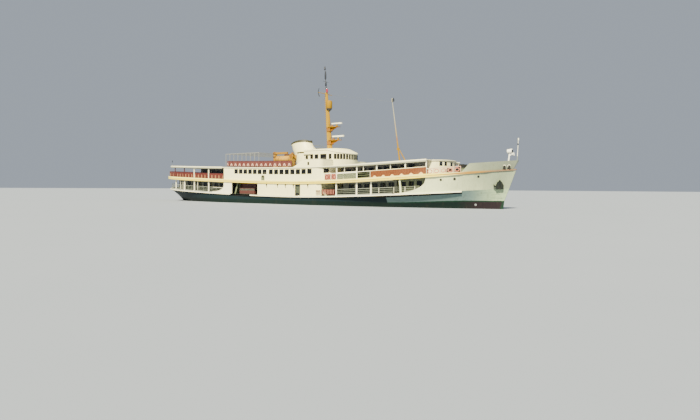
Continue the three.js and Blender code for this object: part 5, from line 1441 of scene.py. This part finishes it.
@dataclass
class Promenades(SubAssembly):
    """Rails, benches and posts of the open decks."""

    hand: float = 1.2
    bar: float = 0.05
    rises: Flat = (0.42, 0.68)
    tip_rises: tuple[float, ...] = (0.42, 0.68, 0.95)
    tip_inset: float = 0.36
    tip_from: float = 20.6

    def build(self) -> None:
        """Makes the rails, then what stands behind them."""
        self._rails()
        self._benches()
        self._slats()
        self._main_deck_bars()
        self._casings()
        self._gate_pales()

    def _rails(self) -> None:
        """Boards and patterns of the passenger rails."""
        fore = Track(side_path(UPPER_EDGE, 8.8, 25.7), UPPER)
        a, b, c = (fore.run_at(x) for x in (11.0, 15.0, 17.3))
        bow, aft = Track(side_path(UPPER_EDGE, 25.75, 30.05), UPPER), Track(stern_path(UPPER_EDGE, -14.7), UPPER)
        boat = Track(round_the_end(side_path(ROOF_EDGE, -13.9, 1.9, 0.25)), ROOF)
        hand, red, rose, brown = self.hand, Finish.RED, Finish.ROSE, Finish.BROWN
        blush, peach, amber = Finish.BLUSH, Finish.PEACH, Finish.AMBER
        hills = Finish.EMBER, amber, Finish.CREAM, amber
        for screen in (
            RailScreen("corner_rail", fore, Pattern.RINGS, hand, 0.74, 0.0, a, blush, red, rose, red),
            RailScreen("open_rail", fore, Pattern.BARS, hand, 0.8, b, c, None, Finish.SAGE, red, Finish.OLIVE),
            RailScreen("fore_rail", fore, Pattern.HILL, hand, 1.42, c, None, *hills, proud=0.11, stanchion=0.04),
            RailScreen("bow_rail", bow, Pattern.RINGS, 0.9, 0.86, 0.0, None, None, red, blush, peach),
            RailScreen("stern_rail", aft, Pattern.PALES, hand, 1.0, 0.0, None, rose, red, Finish.SAND, brown),
            RailScreen("boat_rail", boat, Pattern.PEAK, 1.02, 1.09, 0.0, None, rose, Finish.MAUVE, peach, brown),
        ):
            screen.build()

    def _benches(self) -> None:
        """Slatted benches along the inner walls of the open decks."""
        seats, legs = shapes("bench_slats", "bench_legs")
        for line, xs, wall in (
            (UPPER, row(12.4, 22.6, 6), -4.2),
            (UPPER, row(-22.6, -16.2, 4), -4.3),
            (MAIN, row(12.6, 19.4, 4), -4.3),
            (MAIN, row(-29.0, -16.2, 7), -4.3),
        ):
            for x in xs:
                a, b, z = x - 0.8, x + 0.8, max(line.height(x - 0.8), line.height(x + 0.8))
                for y in (wall - 0.12 - 0.12 * k for k in range(4)):
                    seats.box((a, y - 0.045, z + 0.40), (b, y + 0.045, z + 0.44))
                for rise in (z + 0.52 + 0.14 * k for k in range(3)):
                    seats.box((a, wall - 0.09, rise), (b, wall - 0.05, rise + 0.1))
                for foot in (x - 0.7, x + 0.7):
                    legs.post(foot, wall - 0.5, line.height(foot), z + 0.4, 0.04)
                    legs.post(foot, wall - 0.07, line.height(foot), z + 0.9, 0.04)
        seats.mirrored().build(Finish.SAGE)
        legs.mirrored().build(Finish.GREY)

    def _slats(self) -> None:
        """White cap, slat faces and dark back of the slatted bay in the fore rail."""
        path = side_path(UPPER_EDGE, 11.2, 14.75)
        cap, slats, back = shapes("slat_bay_cap", "slat_bay_faces", "slat_bay_back")
        cap.strake(path, -0.07, 0.075, UPPER.above(1.12), UPPER.above(1.34)).mirrored().build(Finish.WHITE)
        for rise in row(0.24, 0.96, 5):
            slats.strake(path, 0.03, 0.062, UPPER.above(rise - 0.005), UPPER.above(rise + 0.12))
        slats.mirrored().build(Finish.SAGE)
        back.strake(path, -0.05, -0.022, UPPER.above(0.18), UPPER.above(1.1)).mirrored().build(Finish.OLIVE)

    def _main_deck_bars(self) -> None:
        """Middle bars of the main deck's open sides, and short stanchions between them."""
        bars, rods, port = shapes("main_deck_bars", "main_deck_rods", "main_deck_bars_port")
        fore = side_path(MAIN_EDGE, 10.9, self.tip_from)
        tip = side_path(MAIN_EDGE, self.tip_from + 0.02, 24.4, self.tip_inset)
        aft = stern_path(MAIN_EDGE, -15.6)
        for shape, path, rises in (
            (bars, fore, self.rises),
            (bars, tip, self.tip_rises),
            (bars, aft, self.rises),
            (port, fore, self.rises),
            (port, tip, self.tip_rises),
        ):
            for rise in rises:
                shape.strake(path, -0.025, 0.025, MAIN.above(rise), MAIN.above(rise + self.bar))
        for x in (18.46, 20.75, 22.4, 23.78):
            inset, foot = (RAIL_INSET, 0.2) if x < self.tip_from else (self.tip_inset, 0.04)
            rods.post(x, MAIN_EDGE.starboard(x, inset), MAIN.height(x) + foot, MAIN.height(x) + 0.97, self.bar)
        rods.mirrored()
        track = Track(aft, MAIN)
        for run in row(0.4, track.length - 0.2, round(track.length / 1.2)):
            bars.beam(track.at(run, 0.2), track.at(run, 0.97), 0.035, 0.035, AHEAD)
        for x in (-22.4, -28.2, -27.2):
            for s in BOTH_SIDES:
                y = -s * MAIN_EDGE.starboard(x, RAIL_INSET)
                rods.post(x, y, MAIN.height(x) + 0.2, UPPER.height(x) - SLAB, 0.06)
        port.verts = [(x, -y, z) for x, y, z in port.verts]
        port.build(Finish.MILK)
        bars.build(Finish.MILK)
        rods.build(Finish.WHITE)

    def _casings(self) -> None:
        """White casings round the posts under the aft canopy, and thin extra posts forward."""
        posts = Shape("post_casings")
        casings = [(x, 0.09, 0.07, UPPER.height(x - 0.1) + 0.02) for x in (-23.4, -19.1)]
        casings += [(x, 0.04, 0.03, UPPER.height(x) + self.hand) for x in (12.58, 16.02, 20.5)]
        for x, long, wide, low in casings:
            y = UPPER_EDGE.starboard(x, RAIL_INSET)
            posts.box((x - long, y - wide, low), (x + long, y + wide, ROOF.height(x) - SLAB - 0.13))
        posts.mirrored().build(Finish.WHITE)

    def _gate_pales(self) -> None:
        """Pales on the gangway gates, which swing with them."""
        for node, s in zip(both("gangway_gate"), BOTH_SIDES):
            pales = Shape(node + "_pales")
            near, far = sorted((s * 6.27, s * 6.34))
            for x in row(8.4, 10.5, 8):
                pales.box((x - 0.04, near, 1.78), (x + 0.04, far, 2.47))
            pales.build(Finish.BLUSH, node)


@dataclass
class Bridge(SubAssembly):
    """Wheelhouse windows, its roof edge and the wings."""

    aft: float = 2.0
    straight_to: float = 7.0
    front: float = 9.35
    half: float = 3.5
    top: float = 8.85
    fall: float = 0.55
    sill: float = 7.42
    head: float = 8.16

    def oval(self, bearing: float) -> tuple[float, float, float]:
        """X, Y and outward direction in degrees at a bearing round the front."""
        a, depth = math.radians(bearing), self.front - self.straight_to
        x, y = self.straight_to + depth * math.cos(a), self.half * math.sin(a)
        return x, y, math.degrees(math.atan2(y / self.half**2, (x - self.straight_to) / depth**2))

    def eave(self, x: float) -> float:
        """Height of the roof's edge at X."""
        u = min(1.0, max(0.0, (x - self.straight_to) / (self.front - self.straight_to)))
        return self.top + 0.08 - self.fall * u**0.8

    def build(self) -> None:
        """Adds the glazing, and the fittings of the roof, wings and doors."""
        panes = []
        for x, width in ((3.68, 0.62), (4.7, 0.78), (6.16, 1.3)):
            panes += [Window(x, s * self.half, 90.0 * s, width, self.sill, self.head) for s in BOTH_SIDES]
        for bearing, width in [(b, 0.41) for b in row(-59.4, 59.4, 13)] + [(-78.0, 0.46), (78.0, 0.46)]:
            panes.append(Window(*self.oval(bearing), width, self.sill, self.head))
        Glazing("bridge_windows", panes, depth=0.03, rim=0.025, edge=0.0, lip=0.05).build()
        self._roof()
        self._wings()
        self._doors()

    def _outline(self, grow: float) -> Plan:
        """The wheelhouse's outline, grown outwards."""
        depth, half = self.front - self.straight_to + grow, self.half + grow
        bearings = row(-math.pi / 2, math.pi / 2, 29)
        arc = [(self.straight_to + depth * math.cos(a), half * math.sin(a)) for a in bearings]
        return [(self.aft, -half), *arc, (self.aft, half)]

    def _roof(self) -> None:
        """A drip edge round the roof, and a vent, rails and an aerial on it."""
        drip, vent, rails = shapes("bridge_drip_edge", "bridge_roof_gear", "bridge_roof_rails")
        drip.strake(self._outline(0.05), 0.0, 0.03, lambda x: self.eave(x) - 0.1, lambda x: self.eave(x) - 0.05)
        drip.build(Finish.WHITE)
        hood = [(0.16, 0.0), (0.16, 0.22), (0.26, 0.24), (0.26, 0.34), (0.1, 0.42), (0.001, 0.43)]
        vent.lathe(hood, (2.75, -2.2, self.top + 0.12), sides=18).build(Finish.WHITE)
        aft, fore, half, hand, top = 2.15, 3.6, 1.25, self.top + 1.05, self.top
        for y in (-half, half):
            rails.tube([(aft, y, top + 0.15), (aft, y, hand), (fore, y, hand), (fore, y, top + 0.2)], 0.028)
            rails.tube([(aft, y, top + 0.6), (fore, y, top + 0.6)], 0.02)
        for z in (top + 0.6, hand):
            rails.tube([(aft, -half, z), (aft, half, z)], 0.024)
        rails.tube([(2.5, 0.6, top + 0.2), (2.5, 0.6, top + 1.9)], 0.03, 0.012)
        rails.build(Finish.GREY)

    def _wings(self) -> None:
        """A cap on each wing's bulwark, and a black block behind its slot that stands for the shade in it."""
        caps, slot = shapes("wing_caps", "wing_slot_shade")
        top, y, corner, to = 7.2, -6.5, 0.9, 8.0
        turn = row(0, math.pi / 2, 7)
        arc = [(to - corner + corner * math.sin(a), y + corner - corner * math.cos(a)) for a in turn]
        caps.strake([(4.7, y), *arc, (to, -3.35)], -0.12, 0.03, lambda x: top, lambda x: top + 0.035)
        caps.mirrored().build(Finish.WHITE)
        # Painted shade: a black block fills the slot, where the wall behind would show white.
        slot.box((5.34, y + 0.02, 6.28), (5.78, y + 0.09, 6.84)).mirrored().build(Finish.BLACK)

    def _doors(self) -> None:
        """A thin rain guard over each bridge door, painted black as painted shade for the shadow line under it, and
        the panes in the doors themselves.
        """
        # Painted shade: the guard is black to stand for the shadow line under the eave.
        guard_shadow = Shape("bridge_door_guard_shadows").box((2.0, -3.66, 8.17), (3.98, -3.49, 8.24))
        guard_shadow.mirrored().build(Finish.BLACK)
        for node, s in zip(both("bridge_door"), BOTH_SIDES):
            near, far = sorted((s * 3.47, s * 3.53))
            Shape(node + "_pane").box((2.42, near, 7.42), (2.88, far, 8.0)).build(Glass(), node)


@dataclass
class Uptake(SubAssembly):
    """The funnel's dark rim, its smoke pipes and its slots."""

    aft: float = -3.8
    fore: float = 0.45
    half: float = 1.35
    base: float = 6.12
    rise: float = 4.8
    crown: float = -0.1

    def ring(self, drop: float, grow: float) -> list[Point]:
        """Points round the arched top, grown outwards, and dropped by a share of the way to the ring below."""
        points = []
        for c, s in circle(48):
            x = (self.aft + self.fore) / 2 + (self.fore - self.aft) / 2 * c
            if x < self.crown:
                fall = 0.76 * ((self.crown - x) / (self.crown - self.aft)) ** 2
            else:
                fall = 0.16 * ((x - self.crown) / (self.fore - self.crown)) ** 2
            top, below = (x, self.half * s, self.rise - fall + 0.06), (-1.4 + 2.12 * c, 1.42 * s, 3.9)
            x, y, z = (mix(t, b, drop) for t, b in zip(top, below))
            points.append((x + grow * c, y + grow * s, self.base + z))
        return points

    def build(self) -> None:
        """Adds the rim round the arched top, the pipes inside it and the dark slots."""
        rim, pipes, slot = shapes("funnel_rim_band", "smoke_pipes", "funnel_slots")
        corners = ((0.36, 0.03), (-0.03, 0.03), (-0.03, -0.14), (0.36, -0.14))
        rim.loft([self.ring(*corner) for corner in corners], True).build(Finish.OLIVE)
        for x, y in ((-2.3, 0.42), (-2.3, -0.42), (-1.0, 0.42), (-1.0, -0.42)):
            pipes.lathe([(0.26, 0.0), (0.26, 0.6), (0.2, 0.6), (0.2, 0.1), (0.001, 0.1)], (x, y, 10.1), sides=18)
        pipes.build(Finish.BLACK)
        slot.box((-1.25, -1.78, 8.80), (0.30, -1.5, 8.86)).box((-0.5, -1.80, 8.78), (0.34, -1.5, 8.88))
        slot.mirrored().build(Finish.BLACK)


@dataclass
class Masts(SubAssembly):
    """Ladders, lamps, aerials and stays of the two masts."""

    skins: ClassVar = (
        (("main_mast",), MastPaint(), 40),
        (("fore_mast",), MastPaint("fore_mast_paint", change=11.5, fade=3.0, grey=(0.30, 0.29, 0.23)), 40),
        (("radar_lower", "radar_upper"), Finish.WHITE, 40),
    )
    rake: float = -0.085
    foot: Flat = (4.7, 9.3)
    fore_truck: float = 18.45 - 0.155 * 8.5

    def axis(self, z: float) -> float:
        """X of the main mast's axis at a height."""
        return self.foot[0] + (z - self.foot[1]) * self.rake

    def build(self) -> None:
        """Adds rungs, rails, lamps, whips and the stays."""
        names = ("rungs", "lamps", "red_lamps", "whips", "patches")
        rungs, lamps, reds, whips, patches = shapes(*("mast_" + name for name in names))
        for z in row(9.6, 18.2, 26):
            x = self.axis(z) - mix(0.5, 0.25, (z - 9.2) / 9.6)
            rungs.tube([(x + 0.1, -0.2, z), (x - 0.12, -0.2, z), (x - 0.12, 0.2, z), (x + 0.1, 0.2, z)], 0.022)
        rungs.build(Finish.YELLOW)
        for deck, x in ((10.75, 6.45), (12.95, 6.15)):
            ax = self.axis(deck)
            for y in (-0.34, 0.26):
                patches.box((ax - 0.1, y, deck - 0.75), (ax + 0.62, y + 0.08, deck - 0.15))
            patches.lathe([(0.14, 0.0), (0.2, 0.02), (0.2, 0.2), (0.14, 0.24)], (x - 0.75, -0.3, deck), sides=12)
            for y in (-0.43, 0.43):
                a, b, hand = ax + 0.55, x + 0.35, deck + 0.34
                whips.tube([(a, y, deck), (a, y, hand), (b, y, hand), (b, y, deck)], 0.02)
        patches.build(Finish.RUSTY)
        for z, tall in ((19.85, 0.8), (21.0, 1.35), (22.55, 0.5)):
            lamp = [(0.06, 0.0), (0.15, 0.04), (0.16, tall * 0.5), (0.1, tall - 0.05), (0.03, tall)]
            lamps.lathe(lamp, (self.axis(z) - 0.02, 0, z), sides=14)
        barrel = [(0.001, -1.05), (0.2, -0.98), (0.44, -0.72), (0.5, -0.55), (0.46, -0.55), (0.001, -0.8)]
        lamps.lathe(barrel, (self.axis(16.6) + 0.42, 0, 16.6), sides=18)
        lamps.build(Finish.DARK_LAMP)
        red = [(0.001, 0.0), (0.14, 0.0), (0.17, 0.12), (0.17, 0.5), (0.14, 0.6), (0.001, 0.64)]
        reds.lathe(red, (self.axis(18.85) + 0.26, -0.14, 18.75), sides=14).build(Finish.LAMP_RED)
        x = self.axis(18.5)
        bow = [(x + dx, -2.0, z) for dx, z in ((0.12, 17.85), (-0.06, 18.2), (-0.12, 18.7), (0.04, 19.2))]
        whips.tube(bow, 0.07, 0.04, 8).build(Finish.BLACK)
        self._fore_lamp()
        self._stays()

    def _fore_lamp(self) -> None:
        """The lamp on the fore mast's truck."""
        lamp = [(0.06, -0.1), (0.17, -0.06), (0.17, 0.28), (0.1, 0.36), (0.1, 0.44), (0.001, 0.5)]
        Shape("fore_mast_lamp").lathe(lamp, (self.fore_truck, 0, 16.12), sides=14).build(Finish.DARK_LAMP)

    def _stays(self) -> None:
        """The stay between the masts, and two from the main mast to the boat deck."""
        stays = Shape("mast_stays")
        top, deck = self.axis(18.4), ROOF.height(-1.0)
        stays.tube([(top, 0, 18.4), (self.fore_truck, 0, 16.0)], 0.008, sides=5)
        for s in BOTH_SIDES:
            stays.tube([(top, s * 0.1, 18.3), (-1.0, s * 5.9, deck)], 0.008, sides=5)
        stays.build(Finish.STAY)


@dataclass
class BoatGroup(SubAssembly):
    """Rescue boat, cradle, davit and winch with their fittings."""

    skins: ClassVar = (
        (("rescue_boat",), Finish.ORANGE, 60),
        (("boat_cradle",), Finish.BUFF, 30),
        (("davit",), Finish.YELLOW, 40),
    )
    davit_x: float = -3.5
    y: float = -4.7
    winch: Point = (1.42, -5.75, 7.86)

    def build(self) -> None:
        """Adds bands, cap, winch, gripes and outboard motor."""
        bands, cap = shapes("davit_bands", "davit_cap")
        for z in (7.85, 8.38):
            bands.lathe([(0.27, 0.0), (0.335, 0.0), (0.335, 0.16), (0.27, 0.16)], (self.davit_x, self.y, z))
        bands.build(Finish.BROWN, "davit")
        cap.lathe([(0.001, 0.08), (0.26, 0.04), (0.31, 0.0), (0.29, -0.06)], (self.davit_x, self.y, 8.72))
        cap.build(Finish.RUSTY, "davit")
        x, y, z = self.winch
        drum, ring, gripes, motor = shapes("winch_drum", "winch_ring", "boat_gripes", "boat_motor")
        half = [(0.3, 0.18), (0.46, 0.2), (0.46, 0.24), (0.42, 0.28)]
        drum.lathe([(r, -d) for r, d in reversed(half)] + half, self.winch, ACROSS, 28)
        drum.box((x - 0.3, y - 0.3, ROOF.height(x)), (x + 0.3, y + 0.3, z - 0.36)).build(Finish.YELLOW)
        ring.lathe([(0.24, -0.31), (0.3, -0.31), (0.3, -0.27), (0.24, -0.27)], self.winch, ACROSS, 24)
        ring.box((x + 0.16, y - 0.32, z + 0.3), (x + 0.42, y - 0.1, z + 0.62)).build(Finish.RUSTY)
        strap = [(-1.0, 6.9), (-0.97, 7.6), (-0.6, 8.02), (0.6, 8.02), (0.97, 7.6), (1.0, 6.9)]
        for bx in (-1.9, 0.4):
            gripes.tube([(bx, self.y + dy, bz) for dy, bz in strap], 0.03)
        gripes.build(Finish.BUFF)
        plan = ((-1.1, -0.3), (-0.3, -0.3), (-0.3, 0.3), (-1.1, 0.3))
        levels = ((7.9, 1.0), (8.22, 1.0), (8.34, 0.7))
        motor.loft([[(mx, self.y + my * k, mz) for mx, my in plan] for mz, k in levels])
        motor.build(Finish.BROWN, bevel=0.04)


@dataclass
class DeckGear(SubAssembly):
    """Mooring gear and small fittings of the open decks."""

    skins: ClassVar = (
        (("windlass",), Finish.BLACK, 35),
        (("hatch_coaming", "hatch_lid"), Finish.MILK, 35),
        (("searchlight",), Finish.BRIGHT, 35),
    )
    bitts: tuple[tuple[float, float, DeckLine], ...] = (
        (30.9, -2.2, UPPER),
        (33.3, -1.4, UPPER),
        (-33.0, -2.6, MAIN),
        (-13.4, -5.9, MAIN),
        (9.6, -5.7, MAIN),
    )

    def build(self) -> None:
        """Adds bitts, a reel, a locker, the jackstaff's lights and the searchlight's lens."""
        bitts, reel, locker = shapes("mooring_bitts", "rope_reel", "fore_locker")
        light, lens = shapes("jackstaff_light", "searchlight_lens")
        post = [(0.1, -0.02), (0.1, 0.62), (0.15, 0.64), (0.15, 0.72), (0.001, 0.74)]
        for x, y, line in self.bitts:
            for px in (x - 0.22, x + 0.22):
                bitts.lathe(post, (px, y, line.height(px)), sides=14)
            z = line.height(x)
            bitts.box((x - 0.42, y - 0.14, z - 0.03), (x + 0.42, y + 0.14, z + 0.07))
        bitts.mirrored().build(Finish.BLACK)
        x, y, z = 27.75, -2.2, UPPER.height(27.75)
        half = [(0.2, 0.26), (0.42, 0.28), (0.42, 0.34), (0.001, 0.34)]
        reel.lathe([(r, -d) for r, d in reversed(half)] + half, (x, y, z + 0.55), ACROSS)
        for side in (y - 0.4, y + 0.4):
            for foot in (x - 0.25, x + 0.25):
                reel.beam((foot, side, z), (x, side, z + 0.6), 0.06, 0.05, ACROSS)
        reel.mirrored().build(Finish.ANCHOR)
        low = UPPER.height(29.7)
        locker.box((29.25, -1.9, low - 0.02), (30.0, -1.3, low + 0.72))
        locker.box((29.2, -1.95, low + 0.72), (30.05, -1.25, low + 0.80))
        locker.mirrored().build(Finish.SAGE, bevel=0.02)
        light.lathe([(0.04, 0.0), (0.09, 0.02), (0.09, 0.18), (0.04, 0.2)], (36.5, 0, 8.55), sides=12)
        light.lathe([(0.04, 0.0), (0.08, 0.02), (0.08, 0.14), (0.03, 0.16)], (36.5, 0, 9.2), sides=12)
        light.build(Finish.DARK_LAMP)
        face = [(0.001, 0.0), (0.24, 0.0), (0.27, 0.02), (0.2, 0.04), (0.001, 0.05)]
        lens.lathe(face, (35.76, 0, UPPER.height(35.15) + 2.5), AHEAD, 24).build(Glass())


# Stage.


@dataclass
class Studio:
    """Camera, lights and floor."""

    heading: float = 36.5
    stand: Point = (59.734, -68.589, 2.74)
    lens: float = 26.743
    pitch: float = math.atan(22 / 520)
    roll: float = math.atan(0.0057)
    sky: Colour = (0.60, 0.68, 0.78)
    sky_strength: float = 0.62
    suns: tuple[tuple[str, Point, float, float, Colour], ...] = (
        ("key", (16, -46, 46), 15.0, 5.0, (1.0, 0.92, 0.64)),
        ("fill", (70, 20, 30), 0.8, 40.0, (0.85, 0.92, 1.0)),
    )
    floor_half: float = 400.0

    def add(self, name: str, data: bpy.types.ID) -> bpy.types.Object:
        """Puts a camera or light in the scene."""
        made = bpy.data.objects.new(name, data)
        bpy.context.scene.collection.objects.link(made)
        return made

    def camera(self) -> None:
        """The camera at the photograph's viewing angle."""
        th, up = math.radians(self.heading), Vector(UP)
        right, ahead = Vector((math.cos(th), math.sin(th), 0)), Vector((-math.sin(th), math.cos(th), 0))
        look = ahead * math.cos(self.pitch) - up * math.sin(self.pitch)
        above = up * math.cos(self.pitch) + ahead * math.sin(self.pitch)
        x_axis = right * math.cos(self.roll) + above * math.sin(self.roll)
        y_axis = above * math.cos(self.roll) - right * math.sin(self.roll)
        turn = Matrix((x_axis, y_axis, -look)).transposed().to_4x4()
        turn.translation = Vector(self.stand) * SCALE
        data = bpy.data.cameras.new("photo_camera")
        data.sensor_width, data.lens, data.clip_end = 36.0, self.lens, 500.0
        made = self.add("photo_camera", data)
        made.matrix_world = turn
        bpy.context.scene.camera = made

    def light(self) -> None:
        """A broad key from the camera's side, a fill and an even pale sky."""
        world = bpy.data.worlds.new("studio_sky")
        bpy.context.scene.world = world
        world.use_nodes = True
        back = world.node_tree.nodes["Background"]
        back.inputs[0].default_value = (*self.sky, 1)
        back.inputs[1].default_value = self.sky_strength
        for name, source, power, size, tint in self.suns:
            data = bpy.data.lights.new(name, "SUN")
            data.energy, data.color, data.angle = power, tint, math.radians(size)
            self.add(name, data).rotation_euler = (-Vector(source)).to_track_quat("-Z", "Y").to_euler()

    def floor(self) -> None:
        """The plain pale floor at the waterline."""
        mesh, r = bpy.data.meshes.new("studio_floor"), self.floor_half
        mesh.from_pydata([(-r, -r, 0), (r, -r, 0), (r, r, 0), (-r, r, 0)], [], [(0, 1, 2, 3)])
        s = Surface("studio_floor_paint")
        tone = s.blend(s.noise(s.where, 0.2, 3), (0.25, 0.28, 0.35), (0.27, 0.30, 0.37))
        s.set(Base_Color=tone, Roughness=0.85)
        made = place("studio_floor", mesh, s.material)

    def build(self) -> None:
        """Sets camera, light and floor."""
        self.camera()
        self.light()
        self.floor()


def main() -> None:
    """Builds every sub-assembly in order."""
    logging.basicConfig(level=logging.INFO, format="%(message)s")
    Studio().build()
    for part in (Hull(), Decks(), Promenades(), Bridge(), Uptake(), Masts(), BoatGroup(), DeckGear()):
        part.dress()
        part.build()
        LOG.info("built %s", type(part).__name__)


if __name__ == "__main__":
    main()
